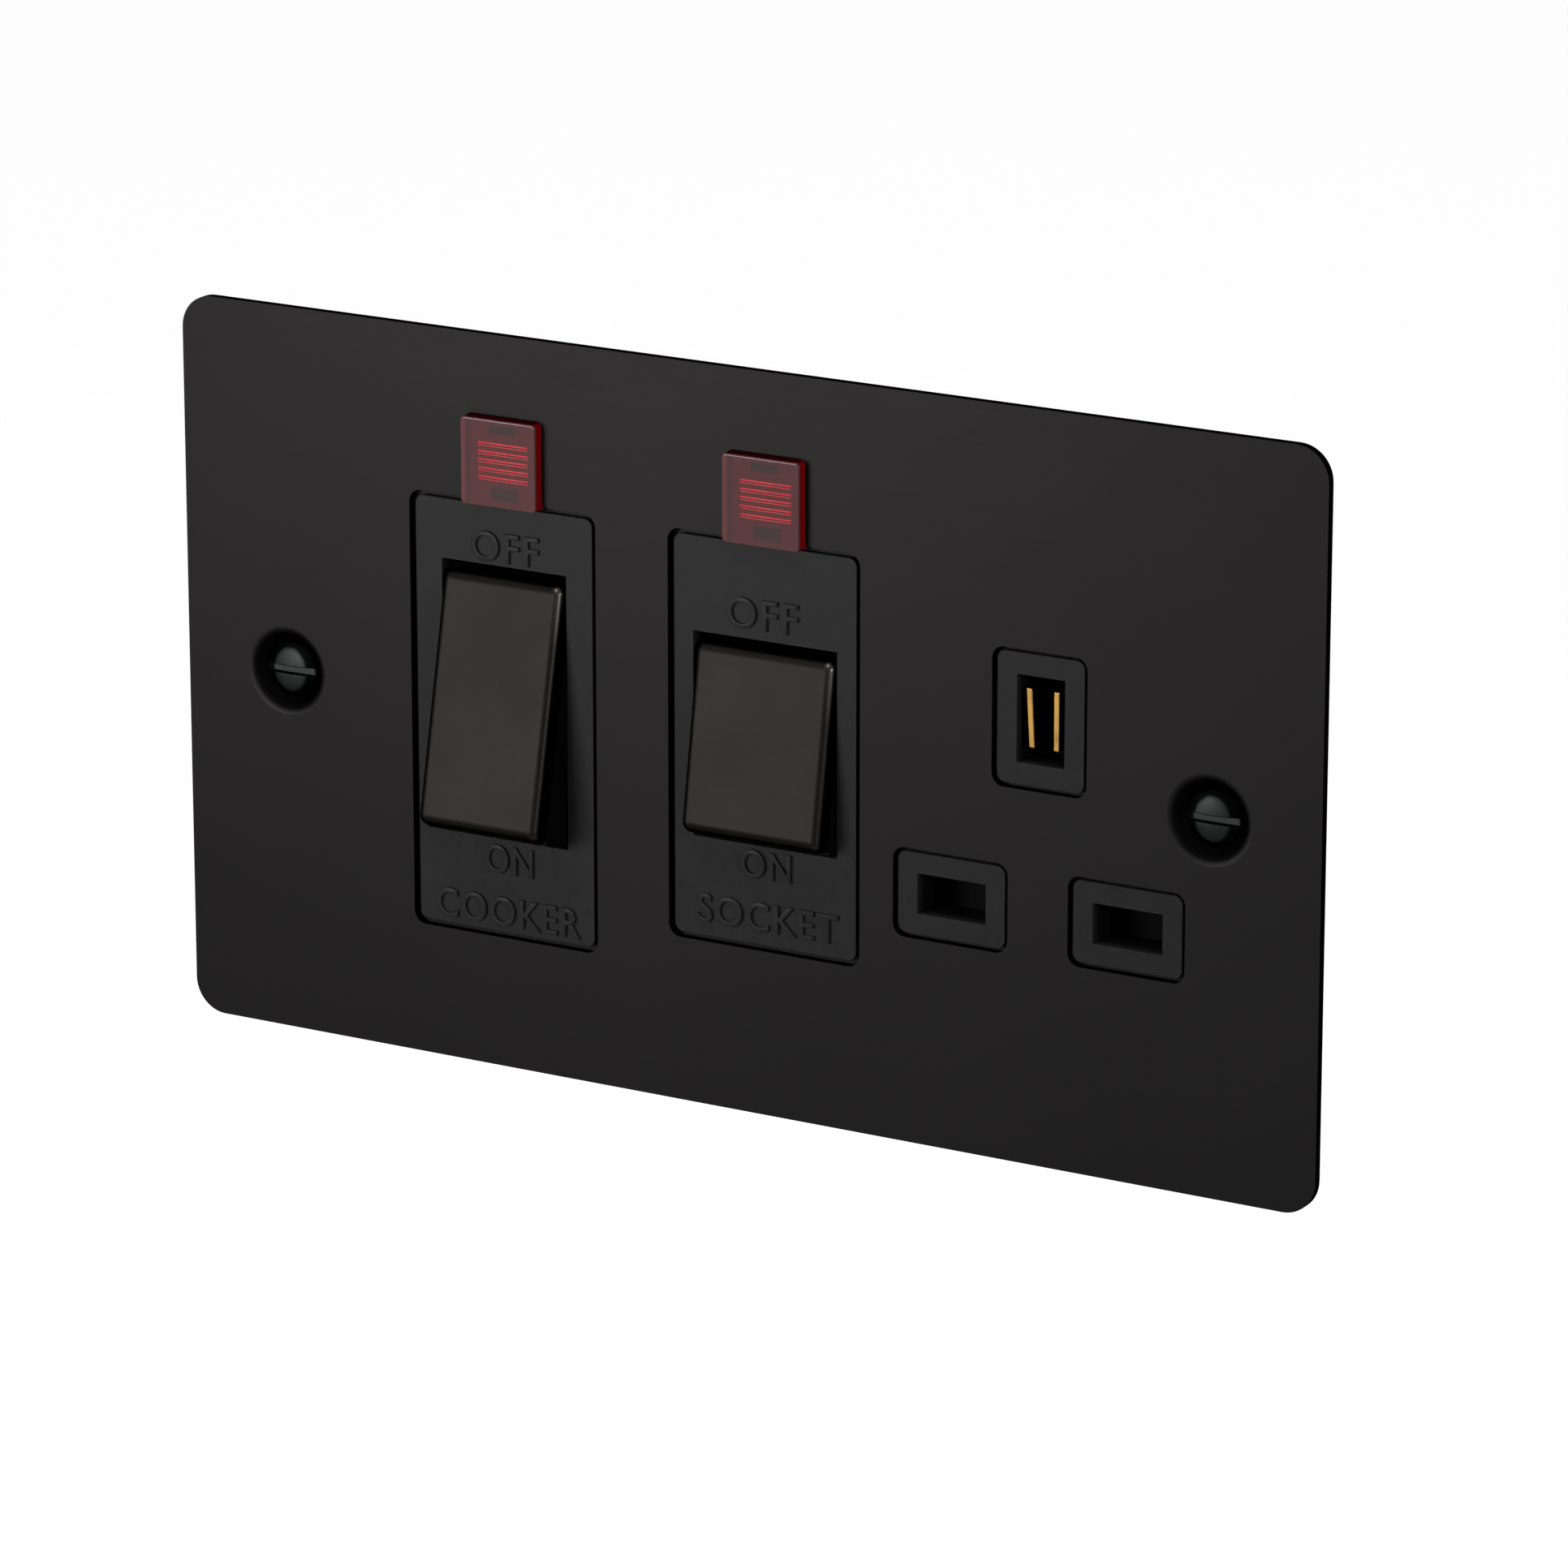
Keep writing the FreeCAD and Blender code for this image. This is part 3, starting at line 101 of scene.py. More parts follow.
LENS_LOW = 23.7
LENS_HIGH = 34.0
LENS_FRONT = -2.6
LENS_BACK = 4.0
LENS_WALL = 1.2
LENS_ROLL = 0.24
LENS_LIP = 0.8
# Tones on a lens front: left and right of its middle, low and high above its foot, colour
LENS_TONES = (
    (-2.6, 4.1, 3.2, 7.8, (0.054, 0.0215, 0.02)),
    (-5.3, -4.3, -1.0, 11.0, (0.063, 0.023, 0.024)),
    (-4.2, -3.65, -1.0, 11.0, (0.037, 0.0205, 0.021)),
    (-1.2, 2.4, 8.7, 9.7, (0.03, 0.0215, 0.0215)),
    (-0.9, 2.7, 0.9, 2.4, (0.031, 0.0215, 0.0215)))
RIDGE_ROWS = (3.55, 4.55, 5.55, 6.5, 7.5)
RIDGE_HALF = 3.3
RIDGE_ASIDE = 0.75
# Sections of turned pieces: distance from the axis, depth
SCREW_X = 60.3
# Reach of the painted shade in the screw seats, in millimetres from the screw's axis
SEAT_SHADE_RADIUS = 4.35
SEAT_BACK = ((1.2, -0.6), (5.9, -0.6), (5.9, -0.12), (5.45, 0.01), (5.0, 0.18), (4.6, 0.45), (4.2, 0.8),
             (2.75, 2.15), (1.2, 2.15), (1.2, -0.6))
SEAT_FRONT = ((0, -2.6), (6.0, -2.6), (6.0, -1.29), (5.35, -1.2), (5.1, -1.155), (4.85, -1.07), (4.6, -0.94),
              (4.35, -0.775), (4.1, -0.58), (3.45, -0.1), (1.95, 1.4), (1.95, 2.6), (0, 2.6))
FIXING_SCREW = ((0, -0.82), (0.6, -0.81), (1.2, -0.765), (1.8, -0.68), (2.35, -0.54), (2.85, -0.34),
                (3.15, -0.17), (3.27, -0.1), (3.3, -0.04), (3.22, 0.02), (1.55, 1.68), (1.55, 20.3),
                (1.05, 21.0), (0, 21.0))
HOUSING_SCREW = ((0, 25.5), (0.8, 25.47), (1.5, 25.38), (2.0, 25.18), (2.28, 24.85), (2.4, 24.4),
                 (2.4, 24.05), (2.36, 24.0), (1.25, 24.0), (1.25, 15.2), (0, 15.2))
HOUSING_SCREWS = ((-41.6, 14.6), (-41.6, -14.4), (24.0, -28.4), (45.2, 9.0))
CLAMP_SCREWS = ((-37.3, 27.0), (-37.3, -26.8), (-23.9, 27.0), (-23.9, -26.8), (39.1, 27.0))
# Raised words: name, letters, left and right edge, low and high edge
WORDS = (("cooker_off_word", "OFF", -34.8, -25.8, 16.8, 20.4),
         ("cooker_on_word", "ON", -33.3, -26.9, -20.3, -16.8),
         ("cooker_word", "COOKER", -40.0, -20.6, -26.6, -23.0),
         ("switch_off_word", "OFF", -0.9, 8.3, 13.5, 17.2),
         ("switch_on_word", "ON", 0.9, 7.4, -15.6, -12.2),
         ("socket_word", "SOCKET", -4.8, 13.5, -21.8, -18.3))
# Springs: wire and coil radius, turns, first and last point along the coil, and the share of its length left
COIL_WIRE = 0.2
PLUNGER_COIL = {"radius": 1.0, "turns": 4, "foot": -2.55, "head": 1.55, "keep": 0.759}
SHUTTER_COIL = {"radius": 1.5, "turns": 8, "foot": -29.0, "head": -17.1, "keep": 0.531}
SHUTTER_MIDDLE = 4.6
POLES = {"live": -4.6, "neutral": 4.6}
# Where the contacts part, sooted and painted darker as painted shade: back, half height and right-hand side
# of the space
CHAMBER_BACK = 18.0
CHAMBER_HIGH = 22.0
CHAMBER_RIGHT = 16.0
# Camera: angles in degrees, distance in metres, and how far it was moved aside and down in millimetres
CAMERA_TURN = 30.23
CAMERA_RISE = 16.43
CAMERA_FAR = 0.8989
CAMERA_ASIDE = 5.7
CAMERA_DOWN = 4.58
FOCAL_PIXELS = 9827
PHOTO_PIXELS = 1932
SENSOR = 36


# Ways of working

def clear():
    if bpy.context.mode != "OBJECT":
        bpy.ops.object.mode_set(mode="OBJECT")
    bpy.ops.object.select_all(action="DESELECT")


def take(piece):
    """Selects one piece alone and makes it the active one."""
    clear()
    piece.select_set(True)
    bpy.context.view_layer.objects.active = piece


def rename(piece, name):
    piece.name = name
    piece.data.name = name


def settle(name=None):
    """Moves the active object's place into its mesh and names it."""
    piece = bpy.context.object
    bpy.ops.object.transform_apply(location=True, rotation=True, scale=True)
    if name:
        rename(piece, name)
    return piece


def put(piece, place=(0, 0, 0), turn=(0, 0, 0)):
    """Turns a piece about the origin, then moves it to a place in metres."""
    take(piece)
    piece.rotation_euler = turn
    piece.location = place
    settle()


def open_mesh(piece):
    """Starts work on a mesh, with all of it selected."""
    take(piece)
    bpy.ops.object.mode_set(mode="EDIT")
    bpy.ops.mesh.select_mode(type="VERT")
    bpy.ops.mesh.select_all(action="SELECT")


def close_mesh():
    bpy.ops.object.mode_set(mode="OBJECT")


def pick(piece, kind, test):
    """Selects, in edit mode, the corners, edges or faces that pass a test."""
    bpy.ops.mesh.select_mode(type=kind)
    bpy.ops.mesh.select_all(action="DESELECT")
    mesh = bmesh.from_edit_mesh(piece.data)
    found = {"VERT": mesh.verts, "EDGE": mesh.edges, "FACE": mesh.faces}[kind]
    for item in found:
        if test(item):
            item.select_set(True)
    mesh.select_flush_mode()
    bmesh.update_edit_mesh(piece.data)


def modify(piece, kind, **settings):
    take(piece)
    step = piece.modifiers.new(kind.title(), kind)
    for name, value in settings.items():
        setattr(step, name, value)
    bpy.ops.object.modifier_apply(modifier=step.name)


def break_edges(piece, width, angle, steps=2):
    modify(piece, "BEVEL", width=width * MM, segments=steps, limit_method="ANGLE",
           angle_limit=math.radians(angle))


def merge(piece, gap=0.002):
    open_mesh(piece)
    bpy.ops.mesh.remove_doubles(threshold=gap * MM)
    close_mesh()


def face_out(piece):
    open_mesh(piece)
    bpy.ops.mesh.normals_make_consistent(inside=False)
    close_mesh()


def smooth(piece, angle=32):
    """Smooth shading that breaks at sharp edges and leans on the large faces."""
    take(piece)
    bpy.ops.object.shade_smooth_by_angle(angle=math.radians(angle))
    modify(piece, "WEIGHTED_NORMAL", keep_sharp=True, weight=80)


def join(first, *others):
    clear()
    for piece in (*others, first):
        piece.select_set(True)
    bpy.context.view_layer.objects.active = first
    bpy.ops.object.join()
    return first


def combine(piece, operation, *tools):
    """Joins each tool's shape to a piece (UNION), or takes it out (DIFFERENCE)."""
    for tool in tools:
        modify(piece, "BOOLEAN", object=tool, operation=operation, solver="EXACT")
        bpy.data.objects.remove(tool)


def block(name, across, depth, up):
    clear()
    middle = [MM * (low + high) / 2 for low, high in (across, depth, up)]
    size = [MM * (high - low) for low, high in (across, depth, up)]
    bpy.ops.mesh.primitive_cube_add(size=1, location=middle, scale=size)
    return settle(name)


def along_depth(edge):
    start, end = edge.verts[0].co, edge.verts[1].co
    return abs(start.y - end.y) > 1e-6 and abs(start.x - end.x) < 1e-6 and abs(start.z - end.z) < 1e-6


def rounded_block(name, across, depth, up, corner, steps=8):
    """A block whose four corners, seen from the front, are rounded."""
    piece = block(name, across, depth, up)
    open_mesh(piece)
    pick(piece, "EDGE", along_depth)
    bpy.ops.mesh.bevel(offset=corner * MM, segments=steps, affect="EDGES")
    close_mesh()
    return piece


def traced(name, points):
    """A line of edges drawn from point to point."""
    clear()
    bpy.ops.mesh.primitive_plane_add(size=MM, location=Vector(points[0]) * MM)
    piece = settle(name)
    open_mesh(piece)
    bpy.ops.mesh.merge(type="CENTER")
    for start, end in zip(points, points[1:]):
        step = (Vector(end) - Vector(start)) * MM
        bpy.ops.mesh.extrude_region_move(TRANSFORM_OT_translate={"value": step})
    close_mesh()
    return piece


def spun(name, x, z, section, sides=72):
    """A turned piece: a section of (radius, depth) spun about a line along the depth."""
    piece = traced(name, [(x + radius, depth, z) for radius, depth in section])
    open_mesh(piece)
    bpy.ops.mesh.spin(steps=sides, angle=2 * math.pi, center=(x * MM, 0, z * MM), axis=(0, 1, 0))
    close_mesh()
    merge(piece)
    face_out(piece)
    return piece


def filled(name, points, step):
    """A closed outline, filled and pulled out along a step."""
    piece = traced(name, list(points) + [points[0]])
    merge(piece)
    open_mesh(piece)
    bpy.ops.mesh.edge_face_add()
    bpy.ops.mesh.extrude_region_move(TRANSFORM_OT_translate={"value": Vector(step) * MM})
    close_mesh()
    face_out(piece)
    return piece


def again(piece, name, across=0.0, up=0.0, depth=0.0):
    """A copy with its own mesh, moved to its place."""
    take(piece)
    bpy.ops.object.duplicate()
    bpy.context.object.location = (across * MM, depth * MM, up * MM)
    return settle(name)


def node_copy(node, name):
    """A copy of a CAD node's shape, merged into whole faces so that it can be worked on."""
    take(NODES[node])
    bpy.ops.object.duplicate()
    piece = bpy.context.object
    bpy.ops.object.parent_clear(type="CLEAR_KEEP_TRANSFORM")
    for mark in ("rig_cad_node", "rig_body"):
        if mark in piece:
            del piece[mark]
    rename(piece, name)
    piece.data.materials.clear()
    open_mesh(piece)
    bpy.ops.mesh.customdata_custom_splitnormals_clear()
    bpy.ops.mesh.remove_doubles(threshold=0.002 * MM)
    bpy.ops.mesh.dissolve_limited(angle_limit=math.radians(0.6), use_dissolve_boundaries=False)
    close_mesh()
    return piece


def dress(piece, body, slot, finish, *nodes):
    """Gives a piece its finish, the body that it moves with and the CAD nodes that it stands for."""
    piece.data.materials.clear()
    piece.data.materials.append(finish)
    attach(piece, body)
    if nodes:
        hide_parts(*nodes)


def soften(node, name, edge, body, slot, finish, steps=2):
    """Shows a CAD node as it is, with its edges broken as they are on the real piece."""
    piece = node_copy(node, name)
    break_edges(piece, edge, 35, steps)
    smooth(piece)
    dress(piece, body, slot, finish, node)


def hinge_of(module):
    return next(joint for joint in frame["joints"] if joint["name"] == module["hinge"])


# Finishes

def add_node(tree, kind, settings=None, values=None):
    """A new node, with its settings, and each input given a number or linked to an output."""
    made = tree.nodes.new(kind)
    for name, value in (settings or {}).items():
        setattr(made, name, value)
    for name, value in (values or {}).items():
        if isinstance(value, bpy.types.NodeSocket):
            tree.links.new(value, made.inputs[name])
        else:
            made.inputs[name].default_value = value
    return made


class Signal:
    """A socket of a finish, whose maths reads as a plain expression."""

    def __init__(self, finish, socket):
        self.finish = finish
        self.socket = socket

    def maths(self, operation, *values):
        node = self.finish.node("ShaderNodeMath", {"operation": operation}, dict(enumerate((self, *values))))
        return Signal(self.finish, node.outputs[0])

    def __add__(self, other):
        return self.maths("ADD", other)

    def __sub__(self, other):
        return self.maths("SUBTRACT", other)

    def __mul__(self, other):
        return self.maths("MULTIPLY", other)

    def __lt__(self, other):
        return self.maths("LESS_THAN", other)

    def size(self):
        return self.maths("ABSOLUTE")

    def sign(self):
        return self.maths("SIGN")


class Finish:
    """A surface finish, worked out from the place on the piece in metres."""

    def __init__(self, name, colour, roughness, **constants):
        self.material = bpy.data.materials.new(name)
        self.material.use_nodes = True
        self.tree = self.material.node_tree
        self.shader = self.tree.nodes["Principled BSDF"]
        self.place = Signal(self, self.node("ShaderNodeTexCoord").outputs["Object"])
        self.shader.inputs["Base Color"].default_value = (*colour, 1)
        self.shader.inputs["Roughness"].default_value = roughness
        for words, value in constants.items():
            self.shader.inputs[words.replace("_", " ")].default_value = value

    def node(self, kind, settings=None, values=None):
        plain = {name: getattr(value, "socket", value) for name, value in (values or {}).items()}
        return add_node(self.tree, kind, settings, plain)

    def set(self, **signals):
        for words, signal in signals.items():
            self.tree.links.new(signal.socket, self.shader.inputs[words.replace("_", " ")])
        return self

    def moved(self, centre=(0, 0, 0), scale=(1, 1, 1), turn=(0, 0, 0)):
        """The place, centred on a point in millimetres, then turned and stretched."""
        shift = self.node("ShaderNodeMapping", {"vector_type": "TEXTURE"},
                          {0: self.place, 1: [value * MM for value in centre], 2: turn})
        stretch = self.node("ShaderNodeMapping", {"vector_type": "POINT"},
                            {0: Signal(self, shift.outputs[0]), 3: scale})
        return Signal(self, stretch.outputs[0])

    def axes(self, place):
        split = self.node("ShaderNodeSeparateXYZ", None, {0: place})
        return [Signal(self, socket) for socket in split.outputs]

    def millimetres(self, centre=(0, 0, 0), turn=(0, 0, 0)):
        """The place across, in depth and up, in millimetres from a point."""
        return self.axes(self.moved(centre, (1 / MM,) * 3, turn))

    def noise(self, per_metre, detail, rough, place=None):
        made = self.node("ShaderNodeTexNoise", None, {
            "Vector": place or self.place, "Scale": per_metre, "Detail": detail, "Roughness": rough})
        return Signal(self, made.outputs["Fac"])

    def grains(self, per_metre):
        made = self.node("ShaderNodeTexVoronoi", {"feature": "SMOOTH_F1"}, {
            "Vector": self.place, "Scale": per_metre, "Smoothness": 0.6})
        return Signal(self, made.outputs["Distance"])

    def between(self, factor, dark, light):
        """A colour between two, by a factor."""
        dark, light = (tone if isinstance(tone, Signal) else (*tone, 1) for tone in (dark, light))
        made = self.node("ShaderNodeMix", {"data_type": "RGBA"}, {0: factor, 6: dark, 7: light})
        return Signal(self, made.outputs[2])

    def spread(self, value, low, high, new_low, new_high):
        """A value carried from one range to another, and held at its ends."""
        made = self.node("ShaderNodeMapRange", None, {0: value, 1: low, 2: high, 3: new_low, 4: new_high})
        return Signal(self, made.outputs[0])

    def rough(self, cloud, low, high):
        """A roughness between two, by a cloud."""
        return self.spread(cloud, 0.3, 0.7, low, high)

    def to_the_wall(self):
        """One on faces that look back to the wall, and nought on the others."""
        normal = Signal(self, self.node("ShaderNodeTexCoord").outputs["Normal"])
        return self.spread(self.axes(normal)[1], 0.5, 0.9, 0, 1)

    def patch(self, value, low, high, soft=0.12):
        """One between two values and nought outside them, with soft ends."""
        above = self.spread(value, low - soft, low + soft, 0, 1)
        return above * self.spread(value, high - soft, high + soft, 1, 0)

    def bump(self, height, distance_mm, strength):
        made = self.node("ShaderNodeBump", None, {
            "Strength": strength, "Distance": distance_mm * MM, "Height": height})
        return self.set(Normal=Signal(self, made.outputs[0]))


def satin_black_plate():
    """The plate: satin black metal, brushed along its length in front and left grey at the back, painted
    lighter there as painted fill light. Its screw seats and window edges are painted near black as painted
    shade.
    """
    finish = Finish("satin_black_plate", (0.0083, 0.0079, 0.0078), 0.56, Metallic=1.0,
                    Specular_Tint=(0, 0, 0, 1))
    strokes = finish.noise(1.0, 4, 0.6, finish.moved(scale=(60, 900, 2600)))
    cloud = finish.noise(28, 2, 0.5)
    grain = finish.noise(4200, 2, 0.6)
    tone = strokes * 0.5 + cloud * 0.5
    across, depth, up = finish.millimetres()
    aside = across.size() - SCREW_X
    # Painted shade: the pressed seats round the screws are painted near black.
    seat = finish.spread(aside * aside + up * up, SEAT_SHADE_RADIUS ** 2 - 2.5, SEAT_SHADE_RADIUS ** 2 + 2.5, 1, 0)
    # Painted shade: the rolled window edges and walls go near black from just behind the front.
    punched = finish.spread(depth, PLATE_FRONT + 0.04, PLATE_FRONT + 0.25, 0, 0.85)
    black = finish.between(tone, (0.0072, 0.0069, 0.0068), (0.0096, 0.0091, 0.009))
    black = finish.between(punched, black, (0.0008, 0.0008, 0.0008))
    black = finish.between(seat, black, (0.0008, 0.0008, 0.0008))
    # Unbrushed grey on the faces towards the wall, painted lighter than the front as painted fill light.
    unbrushed_back_light = finish.between(cloud, (0.024, 0.0235, 0.023), (0.034, 0.0335, 0.033))
    finish.set(Base_Color=finish.between(finish.to_the_wall(), black, unbrushed_back_light),
               Roughness=finish.spread(strokes + grain, 0.6, 1.4, 0.52, 0.6))
    return finish.bump(grain * 0.7 + strokes * 0.6, 0.012, 0.35).material


def satin_black_cap(name, module):
    """A rocker cap: a warm black face whose rolled edges are painted brighter as a painted highlight, most of
    all at the top of the right-hand edge, and sides painted dark as painted shade, with a paler foot.
    """
    finish = Finish(name, (0.0056, 0.0053, 0.005), 0.48, Metallic=1.0, Specular_Tint=(0, 0, 0, 1))
    centre = [value / MM for value in hinge_of(module)["pos_m"]]
    tilt = (-math.radians(module["tilt"]), 0, 0)
    half = math.sqrt(module["radius"] ** 2 - module["rise"] ** 2)
    across, depth, up = finish.millimetres(centre, tilt)
    cloud = finish.noise(90, 3, 0.5)
    grain = finish.noise(5200, 2, 0.6)
    face = finish.between(cloud, (0.0052, 0.0049, 0.0047), (0.0063, 0.006, 0.0057))
    # Painted highlight: the rolled edges are painted brighter than the face.
    roll = finish.spread(depth, 0.04 - module["rise"], 0.2 - module["rise"], 0, 1)
    # Painted shade: the sides go dark from behind the rolled edges.
    side = finish.spread(depth, 0.55 - module["rise"], 0.9 - module["rise"], 0, 1)
    foot = finish.spread(up, 0.8 - half, 1.2 - half, 1, 0)
    # Painted highlight, strongest along the top of the right-hand rolled edge.
    crest_highlight = finish.spread(up, half - 7.0, half - 1.0, 0, 1) * finish.spread(
        across, module["wide"] / 2 - 1.3, module["wide"] / 2 - 0.9, 0, 1)
    edge = finish.between(crest_highlight, (0.0098, 0.0094, 0.0082), (0.034, 0.0325, 0.0295))
    face = finish.between(roll, face, edge)
    # The painted shade on the sides, less dark at the foot.
    under = finish.between(foot, (0.0012, 0.0011, 0.0011), (0.02, 0.0185, 0.018))
    finish.set(Base_Color=finish.between(side, face, under),
               Roughness=finish.spread(cloud + grain * 0.6, 0.5, 1.1, 0.44, 0.52) - roll * 0.2)
    return finish.bump(grain, 0.008, 0.3).material


def blackened_steel():
    """The fixing screws: black oxide, with wear to grey steel on the crown, in the slot and on the shank. The
    slot walls, and the slot floor at its left end, are painted dark as painted shade.
    """
    finish = Finish("blackened_steel", (0.04, 0.046, 0.045), 0.35, Metallic=1.0,
                    Specular_Tint=(0.2, 0.2, 0.2, 1))
    cloud = finish.noise(900, 4, 0.6)
    across, depth, up = finish.millimetres()
    aside = across - across.sign() * SCREW_X
    wander = finish.noise(900, 2, 0.5) * 1.6 - 0.8
    crown = finish.spread(aside * aside * 1.4 + up * up + wander, 5.4, 7.4, 1, 0)
    slot = finish.patch(up, -0.36, 0.36, 0.03) * finish.patch(depth, -0.2, 0.0, 0.06)
    # Painted shade on the walls of the slot.
    slot_wall_shade = finish.patch(up.size(), 0.4, 0.52, 0.03)
    grey = finish.between(cloud, (0.0085, 0.01, 0.0096), (0.0122, 0.014, 0.0135))
    wear_and_shade = finish.between(crown, (0.0008, 0.0009, 0.0009), grey)
    wear_and_shade = finish.between(slot_wall_shade, wear_and_shade, (0.001, 0.0011, 0.0011))
    # Grey steel on the slot floor, left dark at its left end as painted shade.
    wear_and_shade = finish.between(slot * finish.patch(aside, -2.5, 3.1, 0.15), wear_and_shade, (0.0165, 0.018, 0.0176))
    shank = finish.between(cloud, (0.03, 0.033, 0.032), (0.055, 0.058, 0.056))
    wear_and_shade = finish.between(finish.spread(depth, 2.4, 2.8, 0, 1), wear_and_shade, shank)
    finish.set(Base_Color=wear_and_shade, Roughness=finish.rough(cloud, 0.46, 0.54))
    return finish.bump(finish.noise(3500, 3, 0.6), 0.01, 0.3).material


def black_moulding():
    """The insert faces: black thermoset with a fine mottled skin, painted near black deeper in its openings
    as painted shade, and painted lighter on the faces towards the wall as painted fill light.
    """
    finish = Finish("black_moulding", (0.0084, 0.0085, 0.0088), 0.42, Specular_IOR_Level=0.035)
    mottle = finish.noise(700, 4, 0.62)
    grain = finish.noise(3800, 2, 0.6)
    depth = finish.millimetres((0, INSERT_FRONT, 0))[1]
    skin = finish.between(mottle, (0.0067, 0.0067, 0.0069), (0.0103, 0.0103, 0.0105))
    # Painted shade: deeper in the openings the skin goes near black.
    skin = finish.between(finish.spread(depth, 0.22, 1.6, 0, 0.88), skin, (0.0008, 0.0008, 0.0009))
    # Painted fill light: the faces towards the wall are painted lighter.
    back_fill_light = finish.between(mottle, (0.045, 0.046, 0.048), (0.07, 0.071, 0.074))
    finish.set(Base_Color=finish.between(finish.to_the_wall(), skin, back_fill_light),
               Roughness=finish.rough(mottle, 0.36, 0.5))
    return finish.bump(mottle + grain * 0.3, 0.03, 0.35).material


def housing_moulding():
    """The rear housing: dark grey thermoset with a grainy skin."""
    finish = Finish("housing_moulding", (0.016, 0.0165, 0.0175), 0.55, Specular_IOR_Level=0.4)
    mottle = finish.noise(260, 4, 0.55)
    sparks = finish.grains(1500)
    finish.set(Base_Color=finish.between(mottle, (0.013, 0.0134, 0.0142), (0.021, 0.0215, 0.0225)),
               Roughness=finish.rough(mottle, 0.48, 0.62))
    return finish.bump(sparks + mottle, 0.03, 0.45).material


def mottled(name, colour, roughness, dark, light, rough, cloud, skin, skin_mm, skin_depth, **constants):
    """A plain finish: clouds between two tones and two roughnesses, and a fine skin."""
    finish = Finish(name, colour, roughness, **constants)
    clouds = finish.noise(*cloud)
    finish.set(Base_Color=finish.between(clouds, dark, light), Roughness=finish.rough(clouds, *rough))
    return finish.bump(finish.noise(*skin), skin_mm, skin_depth).material


# Black plastic of the rocker cores and the shutter, painted darker than the other mouldings as painted shade
# in the openings where they are seen.
def core_moulding():
    return mottled("core_moulding", (0.0014, 0.0014, 0.0015), 0.5, (0.001, 0.001, 0.0011),
                   (0.0019, 0.0019, 0.002), (0.4, 0.52), (1400, 3, 0.6), (1400, 3, 0.6), 0.015, 0.3,
                   Specular_IOR_Level=0.01)


def red_lens(name, middle):
    """Red plastic, matt on its walls, which are painted a brighter red as painted light shining through them;
    its top face is painted darker as painted shade. Its front is lightly polished and shows the lamp's seat
    darker.
    """
    finish = Finish(name, (0.034, 0.0025, 0.0035), 0.3, Specular_IOR_Level=0.0, Coat_Roughness=0.03,
                    Coat_IOR=1.49)
    across, depth, up = finish.millimetres((middle, LENS_FRONT, LENS_LOW))
    cloud = finish.noise(420, 3, 0.55)
    red = finish.between(cloud, (0.045, 0.0205, 0.0215), (0.054, 0.0215, 0.0225))
    for left, right, low, high, tone in LENS_TONES:
        inside = finish.patch(across, left, right) * finish.patch(up, low, high)
        red = finish.between(inside, red, tone)
    # Painted light: behind the front, the walls are painted a brighter red for light shining through them.
    red = finish.between(finish.spread(depth, 0.15, 0.4, 0, 1), red, (0.12, 0.0015, 0.0024))
    # Painted shade: the top face, under the plate's notch, is painted darker.
    red = finish.between(finish.spread(up, 10.15, 10.3, 0, 1), red, (0.022, 0.0006, 0.0014))
    flat = finish.patch(across, -4.72, 4.72, 0.06) * finish.patch(up, 0.2, 10.02, 0.06)
    finish.set(Base_Color=red, Roughness=finish.rough(cloud, 0.26, 0.36),
               Coat_Weight=finish.spread(depth, 0.1, 0.3, 1, 0) * finish.spread(flat, 0, 1, 0.3, 0.16))
    return finish.bump(finish.noise(1600, 2, 0.5), 0.006, 0.2).material


def resistor_lacquer(middle_y):
    """Tan lacquer with four colour rings round the body."""
    finish = Finish("resistor_lacquer_%d" % round(middle_y * 10), (0.62, 0.46, 0.26), 0.3)
    depth = finish.millimetres((0, middle_y, 0))[1]
    tan = finish.between(finish.noise(800, 3, 0.5), (0.5, 0.36, 0.19), (0.68, 0.52, 0.31))
    for offset, ring in ((-0.95, (0.32, 0.1, 0.02)), (-0.35, (0.28, 0.02, 0.3)),
                         (0.25, (0.75, 0.5, 0.02)), (0.95, (0.45, 0.33, 0.1))):
        tan = finish.between((depth - offset).size() < 0.17, tan, ring)
    finish.set(Base_Color=tan, Roughness=finish.rough(finish.noise(600, 2, 0.5), 0.24, 0.36))
    return finish.bump(finish.noise(1800, 2, 0.5), 0.01, 0.3).material


def earth_brass():
    """Brass that stayed bright on the leaves' front edges, painted dark deeper in the slot as painted shade.
    """
    finish = Finish("earth_brass", (0.6, 0.4, 0.1), 0.35, Metallic=1.0)
    depth = finish.millimetres()[1]
    cloud = finish.noise(600, 3, 0.5)
    bright = finish.between(cloud, (0.145, 0.082, 0.02), (0.195, 0.112, 0.03))
    # Painted shade for the brass deeper in the slot.
    dark = finish.between(cloud, (0.012, 0.007, 0.003), (0.022, 0.013, 0.005))
    finish.set(Base_Color=finish.between(finish.spread(depth, -0.12, 0.1, 0, 1), bright, dark),
               Roughness=finish.rough(cloud, 0.28, 0.42))
    return finish.bump(finish.noise(1800, 2, 0.5), 0.008, 0.3).material


